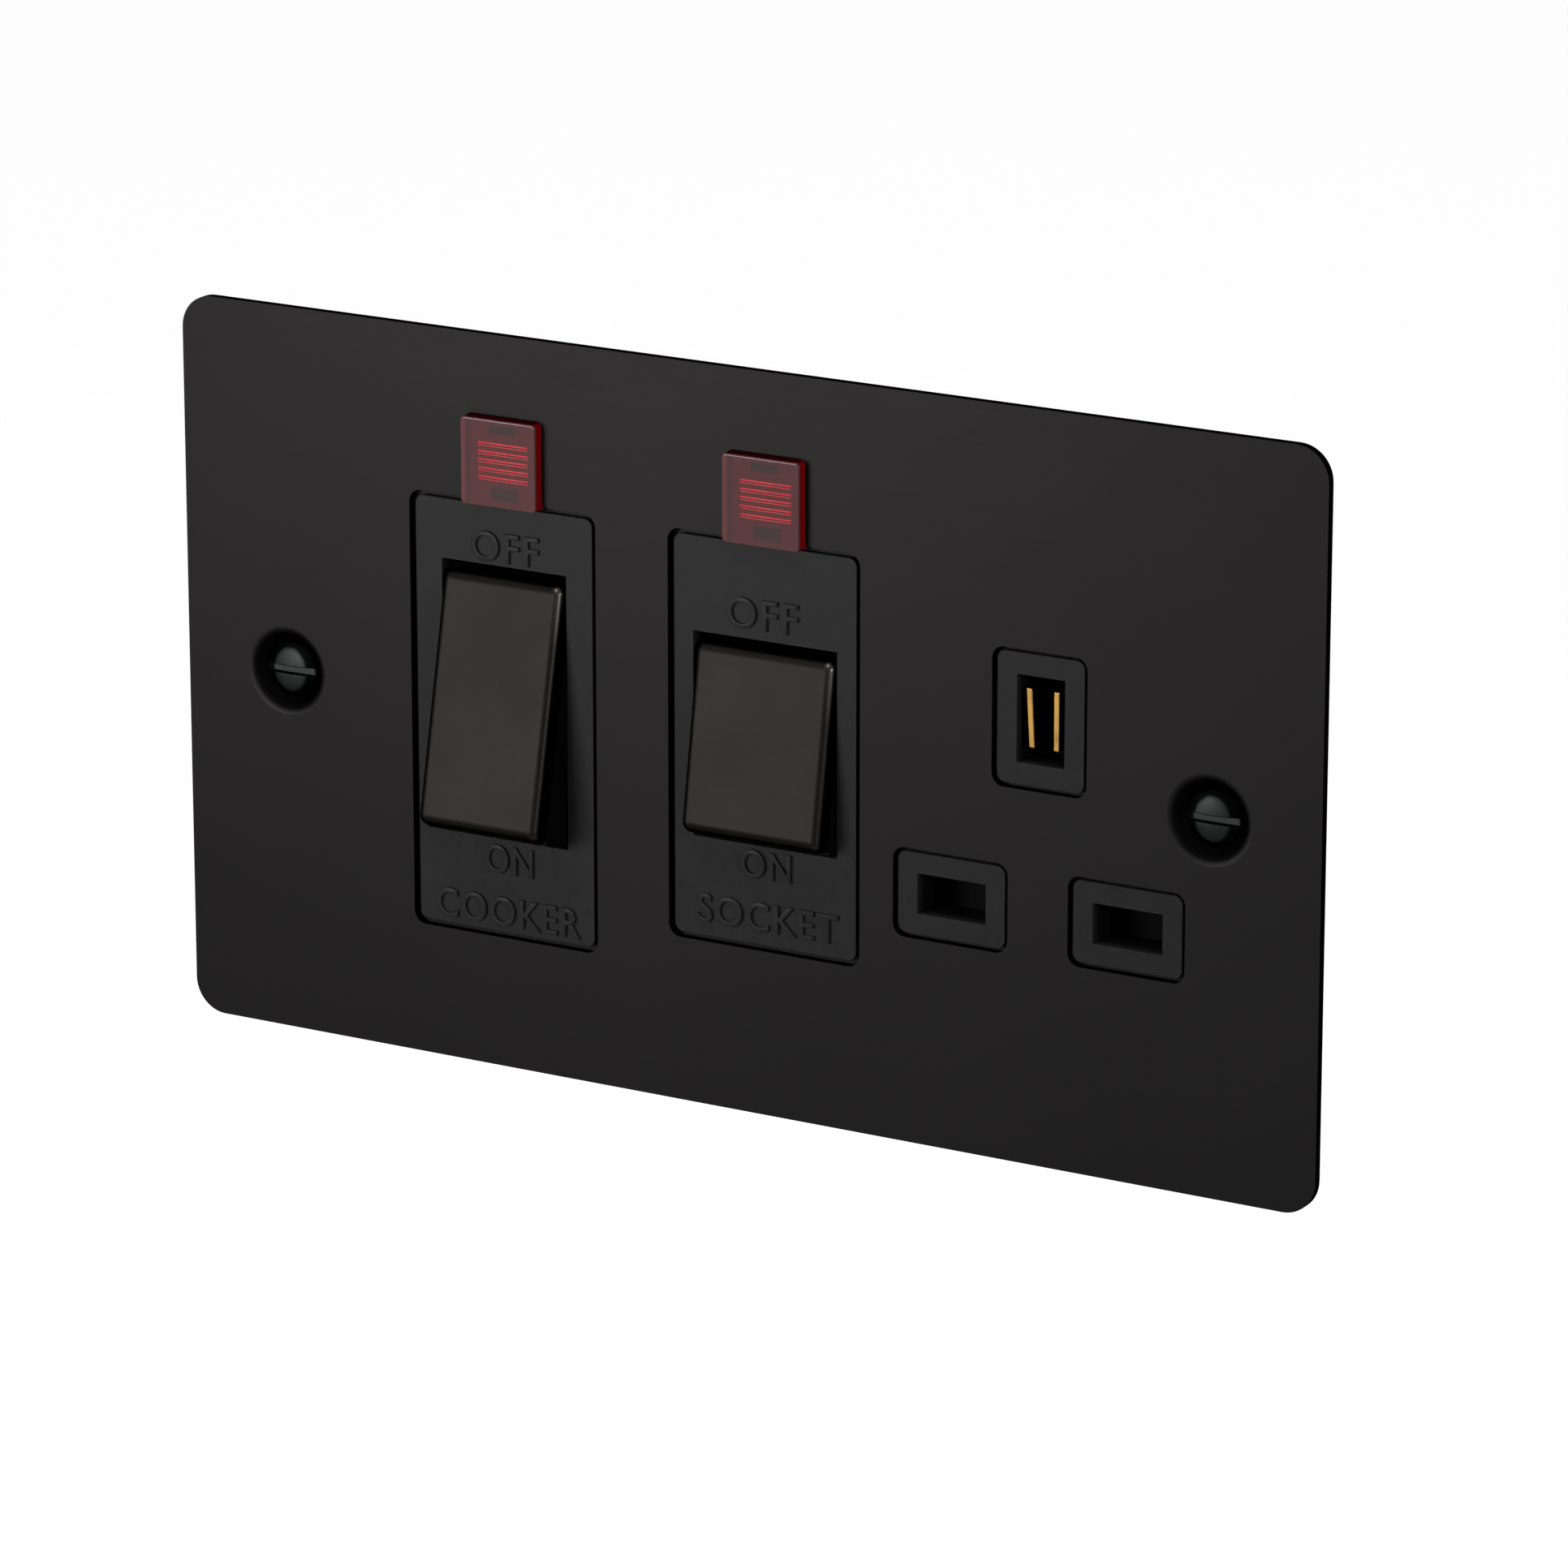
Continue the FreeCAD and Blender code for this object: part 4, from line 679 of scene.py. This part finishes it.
def metal(name, dark, light, rough_low, rough_high, stretch, grain_mm=0.01, soot_and_shade=None):
    """Bare metal with the marks of drawing or rolling along one direction, sooted where the contacts part and
    painted darker in that space as painted shade.
    """
    finish = Finish(name, light, rough_high, Metallic=1.0)
    marks = finish.noise(1.0, 4, 0.6, finish.moved(scale=stretch))
    cloud = finish.noise(220, 3, 0.5)
    bare = finish.between(cloud * 0.6 + marks * 0.4, dark, light)
    if soot_and_shade:
        across, depth, up = finish.millimetres()
        # Inside the switch chamber the metal is sooted and painted darker as painted shade.
        chamber = finish.spread(depth, CHAMBER_BACK - 0.6, CHAMBER_BACK, 1, 0)
        chamber = chamber * finish.spread(up.size(), CHAMBER_HIGH - 1.5, CHAMBER_HIGH, 1, 0)
        chamber = chamber * finish.spread(across, CHAMBER_RIGHT - 2.0, CHAMBER_RIGHT, 1, 0)
        bare = finish.between(chamber, bare, soot_and_shade)
    finish.set(Base_Color=bare, Roughness=finish.spread(marks + cloud, 0.7, 1.3, rough_low, rough_high))
    return finish.bump(marks, grain_mm, 0.4).material


PLATE_BLACK = satin_black_plate()
SCREW_STEEL = blackened_steel()
MOULDING = black_moulding()
HOUSING = housing_moulding()
CORE = core_moulding()
SHUTTER_BLACK = core_moulding()
NYLON = mottled("natural_nylon", (0.62, 0.6, 0.52), 0.4, (0.56, 0.54, 0.46), (0.68, 0.66, 0.58), (0.34, 0.48),
                (500, 3, 0.5), (2600, 2, 0.5), 0.01, 0.3,
                Subsurface_Weight=0.15, Subsurface_Radius=(0.001, 0.0009, 0.0007))
# A brighter red than the lens: painted highlights on the prism ridges.
PRISM_HIGHLIGHT_RED = mottled("red_prism_highlights", (0.24, 0.02, 0.028), 0.3, (0.22, 0.017, 0.024), (0.36, 0.026, 0.04),
                    (0.2, 0.34), (900, 2, 0.5), (2400, 2, 0.5), 0.01, 0.2, Specular_IOR_Level=0.06)
GLASS = mottled("lamp_glass", (0.92, 0.9, 0.87), 0.05, (0.86, 0.82, 0.78), (0.95, 0.94, 0.92), (0.03, 0.08),
                (240, 2, 0.5), (500, 2, 0.5), 0.02, 0.15, Transmission_Weight=1.0, IOR=1.5)
SPRING_STEEL = metal("spring_steel", (0.42, 0.42, 0.43), (0.62, 0.62, 0.63), 0.2, 0.36, (900, 900, 2600),
                     0.006)
EARTH_BRASS = earth_brass()
BRASS = metal("rolled_brass", (0.55, 0.33, 0.1), (0.86, 0.58, 0.22), 0.2, 0.38, (400, 1800, 200),
              soot_and_shade=(0.02, 0.013, 0.006))
COPPER = metal("rolled_copper", (0.5, 0.24, 0.13), (0.8, 0.44, 0.27), 0.24, 0.42, (400, 1800, 200),
               soot_and_shade=(0.02, 0.011, 0.007))
SILVER = metal("contact_silver", (0.6, 0.59, 0.56), (0.86, 0.85, 0.82), 0.18, 0.34, (1500, 1500, 1500))
ZINC = metal("bright_zinc", (0.45, 0.46, 0.46), (0.74, 0.75, 0.74), 0.22, 0.4, (900, 900, 900))


# Front plate

def plate_cutouts():
    """The windows for both modules and for the three pin bosses."""
    windows = [("window", module["x"] - MODULE_HALF, module["x"] + MODULE_HALF, module["low"], MODULE_TOP)
               for module in (COOKER, SWITCH)]
    for name, places, (half_wide, half_tall) in (("pin_window", [(x, PIN_ROW) for x in PINS], PIN_WINDOW),
                                                 ("earth_window", [EARTH], EARTH_WINDOW)):
        for x, z in places:
            windows.append((name, x - half_wide, x + half_wide, z - half_tall, z + half_tall))
    return [rounded_block(name, (left, right), THROUGH_PLATE, (low, high), WINDOW_CORNER)
            for name, left, right, low, high in windows]


def lens_notches():
    """The notches over the module windows, with a small flare where they meet."""
    tools = []
    front, back = THROUGH_PLATE
    low, high = MODULE_TOP - 1.0, LENS_HIGH + NOTCH_GAP
    for module in (COOKER, SWITCH):
        middle = module["x"] + LENS_SHIFT
        left, right = middle - LENS_HALF - NOTCH_GAP, middle + LENS_HALF + NOTCH_GAP
        points = [(left - NOTCH_FLARE, low), (right + NOTCH_FLARE, low), (right + NOTCH_FLARE, MODULE_TOP)]
        for start, across, up, turn in (
                (math.pi * 1.5, right + NOTCH_FLARE, MODULE_TOP + NOTCH_FLARE, -1),
                (0, right - NOTCH_FLARE, high - NOTCH_FLARE, 1),
                (math.pi * 0.5, left + NOTCH_FLARE, high - NOTCH_FLARE, 1),
                (0, left - NOTCH_FLARE, MODULE_TOP + NOTCH_FLARE, -1)):
            for step in range(7):
                angle = start + turn * step * math.pi / 12
                points.append((across + NOTCH_FLARE * math.cos(angle), up + NOTCH_FLARE * math.sin(angle)))
        points.append((left - NOTCH_FLARE, MODULE_TOP))
        outline = [(x, front, z) for x, z in dict.fromkeys((round(x, 4), round(z, 4)) for x, z in points)]
        tools.append(filled("notch", outline, (0, back - front, 0)))
    return tools


def front_plate():
    """A pressed plate: windows punched, seats pressed for the screws, front edges rolled over."""
    half_wide, half_tall = PLATE_WIDE / 2, PLATE_TALL / 2
    plate = rounded_block("plate", (-half_wide, half_wide), (PLATE_FRONT, 0), (-half_tall, half_tall),
                          PLATE_CORNER, 12)
    for section, operation in ((SEAT_BACK, "UNION"), (SEAT_FRONT, "DIFFERENCE")):
        seats = [spun("seat", x, 0, section, 96) for x in (-SCREW_X, SCREW_X)]
        combine(plate, operation, join(*seats))
    merge(plate, 0.004)
    combine(plate, "DIFFERENCE", join(*plate_cutouts()), join(*lens_notches()))

    def rim(edge, depth, turned_to):
        at_depth = all(abs(corner.co.y - depth * MM) < 2e-6 for corner in edge.verts)
        if not at_depth or len(edge.link_faces) != 2:
            return False
        slopes = [face.normal.y * turned_to for face in edge.link_faces]
        return max(slopes) > 0.9 and min(slopes) < 0.3

    def of_window(edge):
        middle = (edge.verts[0].co + edge.verts[1].co) / 2
        return abs(middle.x) < 56 * MM and abs(middle.z) < 40 * MM and rim(edge, PLATE_FRONT, -1)

    def of_outline(edge):
        return rim(edge, PLATE_FRONT, -1) and not of_window(edge)

    open_mesh(plate)
    for test, roll, steps in ((of_window, WINDOW_ROLL, 5), (of_outline, PLATE_ROLL, 4),
                              (lambda edge: rim(edge, 0, 1), PLATE_BACK_ROLL, 2)):
        pick(plate, "EDGE", test)
        bpy.ops.mesh.bevel(offset=roll * MM, segments=steps, affect="EDGES", clamp_overlap=True)
    close_mesh()
    smooth(plate)
    dress(plate, "frame", "plate_metal", PLATE_BLACK, "front_plate")


# Fixing screws

def thread(name, root, crest, pitch, start, end):
    """A rolled thread: a pointed section wound along the depth."""
    turns = int((end - start) / pitch) - 1
    foot = root - 0.15
    ridge = traced(name, [(foot, start, 0), (crest, start + pitch / 2, 0), (foot, start + pitch, 0),
                          (foot, start, 0)])
    merge(ridge)
    modify(ridge, "SCREW", axis="Y", screw_offset=pitch * MM, iterations=turns, steps=24, render_steps=24,
           angle=2 * math.pi, use_merge_vertices=False)
    open_mesh(ridge)
    bpy.ops.mesh.fill_holes(sides=3)
    close_mesh()
    face_out(ridge)
    return ridge


def fixing_screws():
    """Domed slotted heads on threaded shanks."""
    screw = spun("fixing_screw_left", 0, 0, FIXING_SCREW)
    combine(screw, "DIFFERENCE", block("slot", (-3.6, 3.6), (-2.0, -0.1), (-0.45, 0.45)))
    break_edges(screw, 0.07, 50)
    screw = join(screw, thread("rolled_thread", 1.5, 1.75, 0.6, 2.85, 20.2))
    smooth(screw, 38)
    put(screw, (-SCREW_X * MM, 0, 0))
    for each in (screw, again(screw, "fixing_screw_right", across=2 * SCREW_X)):
        dress(each, "frame", "screw_metal", SCREW_STEEL, "fixing_screws")


# Moulding, with its raised words

def words(name, text, left, right, low, high):
    """Raised letters on an insert face, fitted between four edges."""
    clear()
    bpy.ops.object.text_add(location=(0, 0, 0), rotation=(math.pi / 2, 0, 0))
    letters = bpy.context.object
    letters.data.body = text
    letters.data.size = 5 * MM
    letters.data.extrude = 0.25 * MM
    letters.data.bevel_depth = 0.09 * MM
    letters.data.bevel_resolution = 1
    letters.data.offset = -0.03 * MM
    letters.data.resolution_u = 5
    letters.data.space_character = 1.12
    bpy.ops.object.convert(target="MESH")
    letters = settle(name)
    corners = [corner.co for corner in letters.data.vertices]
    span = [(min(c[axis] for c in corners), max(c[axis] for c in corners)) for axis in (0, 2)]
    wide, tall = (right - left) * MM, (high - low) * MM
    letters.scale = (wide / (span[0][1] - span[0][0]), 1, tall / (span[1][1] - span[1][0]))
    letters.location = (left * MM - span[0][0] * letters.scale[0], INSERT_FRONT * MM,
                        low * MM - span[1][0] * letters.scale[2])
    settle()
    merge(letters)
    smooth(letters, 40)
    dress(letters, "frame", "moulding", MOULDING)


def moulding():
    soften("front_moulding", "moulding", 0.16, "frame", "moulding", MOULDING)
    for word in WORDS:
        words(*word)


# Rockers

def rocker_cap(module):
    """A pressed cap: a flat face, ends struck round the hinge, and a rolled edge all round."""
    rise, radius, half = module["rise"], module["radius"], module["wide"] / 2
    skirt = CAP_SKIRT - rise
    face_angle = math.acos(rise / radius)
    skirt_angle = math.acos(-skirt / radius)
    sweep = [face_angle + (skirt_angle - face_angle) * step / 2 for step in range(3)]
    top = [(-radius * math.cos(angle), radius * math.sin(angle)) for angle in sweep]
    outline = top[::-1] + [(depth, -up) for depth, up in top]
    cap = filled(module["node"] + "_cap", [(-half, depth, up) for depth, up in outline], (2 * half, 0, 0))
    open_mesh(cap)

    def front_edge(edge):
        middle = (edge.verts[0].co + edge.verts[1].co) / 2
        if len(edge.link_faces) != 2 or edge.calc_face_angle() < math.radians(25):
            return False
        return middle.y < (skirt - 0.01) * MM

    pick(cap, "EDGE", front_edge)
    bpy.ops.mesh.bevel(offset=CAP_ROLL * MM, segments=7, affect="EDGES")
    pick(cap, "FACE", lambda face: face.normal.y > 0.99)
    bpy.ops.mesh.delete(type="FACE")
    close_mesh()
    modify(cap, "SOLIDIFY", thickness=CAP_WALL * MM, offset=-1, use_even_offset=True)
    break_edges(cap, 0.08, 60)
    put(cap, hinge_of(module)["pos_m"], (-math.radians(module["tilt"]), 0, 0))
    smooth(cap, 40)
    finish = satin_black_cap(module["node"] + "_satin_black", module)
    dress(cap, module["body"], "rocker_metal", finish, module["node"] + "_rocker_cap")


def rocker_core(module):
    soften(module["node"] + "_rocker", module["node"] + "_core", 0.12, module["body"], "rocker_core", CORE)


# Neon indicators

def neon_lens(module):
    """A red cup with rolled front edges, set behind the moulding by its lip."""
    middle = module["x"] + LENS_SHIFT
    left, right = middle - LENS_HALF, middle + LENS_HALF
    shell = rounded_block(module["neon"] + "_lens", (left, right), (LENS_FRONT, LENS_BACK),
                          (LENS_LOW, LENS_HIGH), 0.6)

    def front_edge(edge):
        return all(abs(corner.co.y - LENS_FRONT * MM) < 1e-6 for corner in edge.verts)

    open_mesh(shell)
    pick(shell, "EDGE", front_edge)
    bpy.ops.mesh.bevel(offset=LENS_ROLL * MM, segments=4, affect="EDGES")
    close_mesh()
    combine(shell, "UNION", block("lip", (left - LENS_LIP, right + LENS_LIP), (2.05, 2.95),
                                  (LENS_LOW - LENS_LIP, LENS_HIGH + LENS_LIP)))
    combine(shell, "DIFFERENCE", block("hollow", (left + LENS_WALL, right - LENS_WALL),
                                       (LENS_FRONT + LENS_WALL, LENS_BACK + 1),
                                       (LENS_LOW + LENS_WALL, LENS_HIGH - LENS_WALL)))
    smooth(shell)
    finish = red_lens(module["neon"] + "_red_lens", middle)
    dress(shell, "frame", "neon_lens", finish, module["neon"] + "_neon_lens")
    ridges(module, middle)


def ridges(module, middle):
    """Five pairs of ridges across the front, a broad one over a fine one, painted a brighter red than the
    lens as painted highlights where its prisms catch the light.
    """
    rows = []
    for radius, offset in ((0.11, 0.0), (0.07, -0.32)):
        clear()
        bpy.ops.mesh.primitive_cylinder_add(vertices=16, radius=radius * MM, depth=2 * RIDGE_HALF * MM,
                                            rotation=(math.pi / 2, 0, math.pi / 2))
        ridge = settle("ridge")
        break_edges(ridge, 0.04, 50)
        rows += [again(ridge, "ridge", middle + RIDGE_ASIDE, LENS_LOW + height + offset, LENS_FRONT + 0.05)
                 for height in RIDGE_ROWS]
        bpy.data.objects.remove(ridge)
    rib = join(*rows)
    rename(rib, module["neon"] + "_lens_ridges")
    smooth(rib)
    dress(rib, "frame", "neon_lens", PRISM_HIGHLIGHT_RED)


def neon_lamp(module):
    """A small glass tube with two electrodes, and the leads that carry it."""
    middle, up = module["x"] + LENS_SHIFT, (LENS_LOW + LENS_HIGH) / 2
    box_low, box_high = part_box(module["neon"] + "_neon_lamp")
    front = box_low[1] / MM
    back = front + 6.6
    end = box_high[1] / MM
    glass = spun(module["neon"] + "_bulb", middle, up, [
        (0, front), (0.6, front + 0.08), (1.2, front + 0.3), (1.9, front + 0.75), (2.5, front + 1.4),
        (2.85, front + 2.1), (3.0, front + 3.0), (3.0, back - 0.5), (2.8, back - 0.1), (2.4, back),
        (0, back)], 48)
    smooth(glass, 50)
    dress(glass, "frame", "lamp_glass", GLASS, module["neon"] + "_neon_lamp")
    parts = []
    for side, stop in ((-1, end), (1, back + 0.6)):
        parts.append(spun("electrode", middle + side * 0.9, up, [
            (0, front + 1.6), (0.38, front + 1.7), (0.45, front + 1.9), (0.45, back - 1.4),
            (0.3, back - 1.2), (0.3, back + 0.02), (0, back + 0.02)], 20))
        parts.append(spun("lead", middle + side * 2.65, up, [
            (0, back - 0.4), (0.3, back - 0.4), (0.3, stop - 0.02), (0, stop - 0.02)], 16))
    leads = join(*parts)
    rename(leads, module["neon"] + "_electrodes")
    smooth(leads, 40)
    dress(leads, "frame", "spring_steel", SPRING_STEEL, module["neon"] + "_neon_lamp")


def neon_resistor(module):
    """A lacquered body with thicker ends, on one straight lead."""
    low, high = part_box(module["neon"] + "_neon_resistor")
    x, z = (low[0] + high[0]) / 2 / MM, (low[2] + high[2]) / 2 / MM
    start, end = low[1] / MM, high[1] / MM
    middle = (start + end) / 2
    body = spun(module["neon"] + "_resistor", x, z, [
        (radius, middle + offset) for radius, offset in (
            (0, -1.6), (0.55, -1.58), (0.9, -1.4), (1.0, -1.1), (0.97, -0.8), (0.84, -0.6), (0.82, 0),
            (0.84, 0.6), (0.97, 0.8), (1.0, 1.1), (0.9, 1.4), (0.55, 1.58), (0, 1.6))], 36)
    smooth(body, 50)
    dress(body, "frame", "resistor_body", resistor_lacquer(middle), module["neon"] + "_neon_resistor")
    wire = spun(module["neon"] + "_resistor_lead", x, z, [
        (0, start), (0.3, start), (0.3, end), (0, end)], 16)
    smooth(wire, 40)
    dress(wire, "frame", "spring_steel", SPRING_STEEL, module["neon"] + "_neon_resistor")


# Screws at the back

def housing_screws():
    """Pan heads with a cross recess."""
    mouth = 24.7
    screw = spun("housing_screw", 0, 0, HOUSING_SCREW, 48)
    for turn in (0, math.pi / 2):
        wing = block("cross", (-1.25, 1.25), (mouth, 26.5), (-0.21, 0.21))
        put(wing, turn=(0, turn, 0))
        open_mesh(wing)
        pick(wing, "FACE", lambda face: face.normal.y < -0.9)
        bpy.ops.transform.resize(value=(0.3, 1, 0.3), center_override=(0, mouth * MM, 0))
        close_mesh()
        combine(screw, "DIFFERENCE", wing)
    break_edges(screw, 0.06, 50)
    smooth(screw, 40)
    spread_screws(screw, HOUSING_SCREWS, "housing_screws")


def clamp_screws():
    """Slotted clamp screws, backed out of their cable bores."""
    low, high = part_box("terminal_screws")
    head, tip = high[1] / MM, low[1] / MM
    screw = spun("clamp_screw", 0, 0, [
        (0, tip), (1.5, tip), (2.1, tip + 0.35), (2.1, head - 0.7), (2.35, head - 0.55), (2.38, head - 0.25),
        (2.1, head), (0, head)], 48)
    combine(screw, "DIFFERENCE", block("slot", (-4, 4), (head - 1.2, head + 1), (-0.45, 0.45)))
    break_edges(screw, 0.06, 50)
    screw = join(screw, thread("clamp_thread", 2.1, 2.38, 0.7, tip + 0.4, head - 0.6))
    smooth(screw, 38)
    spread_screws(screw, CLAMP_SCREWS, "terminal_screws")


def spread_screws(screw, places, node):
    """Numbered copies of one screw, in place of the screws of a CAD node."""
    for count, (x, z) in enumerate(places, 1):
        each = again(screw, "%s_%d" % (screw.name, count), x, z)
        dress(each, "frame", "plated_steel", ZINC, node)
    bpy.data.objects.remove(screw)


# Springs

def coil_spring(node, body, base, along, coil):
    """Round wire wound between two points of a line."""
    base, along = Vector(base), Vector(along)
    pitch = (coil["head"] - coil["foot"] - 2 * COIL_WIRE) / coil["turns"]
    clear()
    bpy.ops.mesh.primitive_circle_add(
        vertices=12, radius=COIL_WIRE * MM, location=(coil["radius"] * MM, 0, COIL_WIRE * MM),
        rotation=(math.pi / 2, 0, 0))
    spring = settle(node + "_coil")
    modify(spring, "SCREW", axis="Z", screw_offset=pitch * MM, iterations=coil["turns"], steps=28,
           render_steps=28, angle=2 * math.pi, use_merge_vertices=False)
    open_mesh(spring)
    bpy.ops.mesh.fill_holes(sides=12)
    close_mesh()
    put(spring, (base + along * coil["foot"]) * MM, along.to_track_quat("Z", "Y").to_euler())
    face_out(spring)
    smooth(spring, 50)
    dress(spring, body, "spring_steel", SPRING_STEEL, node)
    anchor = (base + along * (coil["foot"] - 0.05)) * MM
    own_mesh(spring)


def springs():
    """One spring in the barrel of each plunger, and one under the shutter."""
    for module in (COOKER, SWITCH):
        tilt = math.radians(module["tilt"])
        _, depth, up = [value / MM for value in hinge_of(module)["pos_m"]]
        for pole, offset in POLES.items():
            stem = "%s_%s_plunger" % (module["node"], pole)
            coil_spring(stem + "_spring", module["body"], (module["x"] + offset, depth, up),
                        (0, math.cos(tilt), -math.sin(tilt)), PLUNGER_COIL)
    coil_spring("shutter_spring", "frame", (EARTH[0], SHUTTER_MIDDLE, 0), (0, 0, 1),
                SHUTTER_COIL)


# Everything behind the plate

def inner_works():
    """Housing, metalwork, tips, shutter and plungers, which keep the shape of their CAD nodes."""
    soften("rear_housing", "housing", 0.25, "frame", "housing", HOUSING)
    for node in ("cooker_load_live_terminal", "cooker_load_neutral_terminal", "cooker_supply_live_terminal",
                 "cooker_supply_neutral_terminal", "socket_switch_load_live_strip",
                 "socket_switch_load_neutral_strip", "socket_switch_supply_live_strip",
                 "socket_switch_supply_neutral_strip", "earth_terminal", "earth_socket_contact",
                 "live_socket_contact", "neutral_socket_contact", "live_socket_bar", "neutral_socket_bar"):
        edge, brass, steps = (0.26, EARTH_BRASS, 3) if node == "earth_socket_contact" else (0.1, BRASS, 2)
        name = node.replace("socket_switch", "switch") + "_brass"
        soften(node, name, edge, "frame", "brass", brass, steps)
    for node in ("live_supply_link", "neutral_supply_link"):
        soften(node, node + "_strip", 0.12, "frame", "copper_alloy", COPPER)
    soften("fixed_contact_tips", "fixed_tips", 0.15, "frame", "contact_silver", SILVER)
    soften("shutter", "sliding_shutter", 0.15, "shutter_body", "shutter_plastic", SHUTTER_BLACK)
    for module in (COOKER, SWITCH):
        for pole in POLES:
            stem = "%s_%s" % (module["node"], pole)
            arm = stem + "_arm_body"
            soften(stem + "_arm", stem + "_arm_strip", 0.1, arm, "copper_alloy", COPPER)
            soften(stem + "_arm_tip", stem + "_tip", 0.15, arm, "contact_silver", SILVER)
            soften(stem + "_plunger", stem + "_pusher", 0.1, stem + "_plunger_body", "plunger_plastic", NYLON)


# Stage: floor, light and camera

def outputs(tree, kind, settings=None, values=None):
    """The outputs of a new node."""
    return add_node(tree, kind, settings, values).outputs


def pale_floor():
    """A matt floor that looks white to the camera and pale in a mirror."""
    clear()
    bpy.ops.mesh.primitive_plane_add(size=24, location=(0, 0, -0.3))
    floor = settle("floor")
    paint = bpy.data.materials.new("pale_floor")
    paint.use_nodes = True
    tree = paint.node_tree
    shader = tree.nodes["Principled BSDF"]
    shader.inputs["Base Color"].default_value = (0.82, 0.82, 0.82, 1)
    shader.inputs["Roughness"].default_value = 0.9
    shader.inputs["Emission Color"].default_value = (1, 1, 1, 1)
    rays = outputs(tree, "ShaderNodeLightPath")
    mirrored = outputs(tree, "ShaderNodeMath", {"operation": "MULTIPLY"},
                       {0: rays["Is Glossy Ray"], 1: 0.45})
    glow = outputs(tree, "ShaderNodeMath", {"operation": "MULTIPLY_ADD"},
                   {0: rays["Is Camera Ray"], 1: 0.76, 2: mirrored[0]})
    tree.links.new(glow[0], shader.inputs["Emission Strength"])
    floor.data.materials.append(paint)


def daylight():
    """An even white room, full to the camera, in mirrors and through glass, and dim as a light."""
    world = bpy.data.worlds.new("studio")
    bpy.context.scene.world = world
    world.use_nodes = True
    tree = world.node_tree
    tree.nodes.clear()
    rays = outputs(tree, "ShaderNodeLightPath")
    seen = outputs(tree, "ShaderNodeMath", {"operation": "ADD"},
                   {0: rays["Is Camera Ray"], 1: rays["Is Glossy Ray"]})
    shown = outputs(tree, "ShaderNodeMath", {"operation": "ADD", "use_clamp": True},
                    {0: seen[0], 1: rays["Is Transmission Ray"]})
    level = outputs(tree, "ShaderNodeMapRange", None, {"Value": shown[0], "To Min": 0.2, "To Max": 1.0})
    sky = outputs(tree, "ShaderNodeBackground", None, {"Color": (1, 1, 1, 1), "Strength": level["Result"]})
    add_node(tree, "ShaderNodeOutputWorld", None, {0: sky[0]})


def outward(azimuth, elevation):
    """The direction from the unit's middle to a place before it, turned to the right and raised."""
    turn, rise = math.radians(azimuth), math.radians(elevation)
    return Vector((math.sin(turn) * math.cos(rise), -math.cos(turn) * math.cos(rise), math.sin(rise)))


def lamp(name, azimuth, elevation, distance, size, power):
    """A soft square lamp that stands round the unit and faces it."""
    place = outward(azimuth, elevation) * distance
    clear()
    bpy.ops.object.light_add(type="AREA", location=place)
    light = bpy.context.object
    light.name = name
    light.data.shape = "SQUARE"
    light.data.size = size
    light.data.energy = power
    light.rotation_euler = (-place).to_track_quat("-Z", "Y").to_euler()


def photo_camera():
    """The camera found from the plate's corners, its pin holes and its screws."""
    back = outward(CAMERA_TURN, CAMERA_RISE)
    right = outward(CAMERA_TURN + 90, 0)
    up = back.cross(right)
    place = back * CAMERA_FAR + (right * CAMERA_ASIDE - up * CAMERA_DOWN + Vector((0, PLATE_FRONT, 0))) * MM
    clear()
    bpy.ops.object.camera_add(location=place, rotation=back.to_track_quat("Z", "Y").to_euler())
    camera = bpy.context.object
    camera.data.lens = FOCAL_PIXELS / PHOTO_PIXELS * SENSOR
    camera.data.sensor_width = SENSOR
    camera.data.clip_start = 0.01
    camera.data.clip_end = 60
    bpy.context.scene.camera = camera


front_plate()
fixing_screws()
moulding()
for switch_module in (COOKER, SWITCH):
    rocker_cap(switch_module)
    rocker_core(switch_module)
    neon_lens(switch_module)
    neon_lamp(switch_module)
    neon_resistor(switch_module)
housing_screws()
clamp_screws()
inner_works()
springs()
pale_floor()
daylight()
lamp("front_softbox", -28, 6, 0.31, 0.13, 1.5)
lamp("top_softbox", -10, 62, 0.7, 0.2, 2.0)
lamp("right_softbox", 66, 12, 0.6, 0.1, 2.0)
photo_camera()
bpy.context.scene.view_settings.view_transform = "Standard"
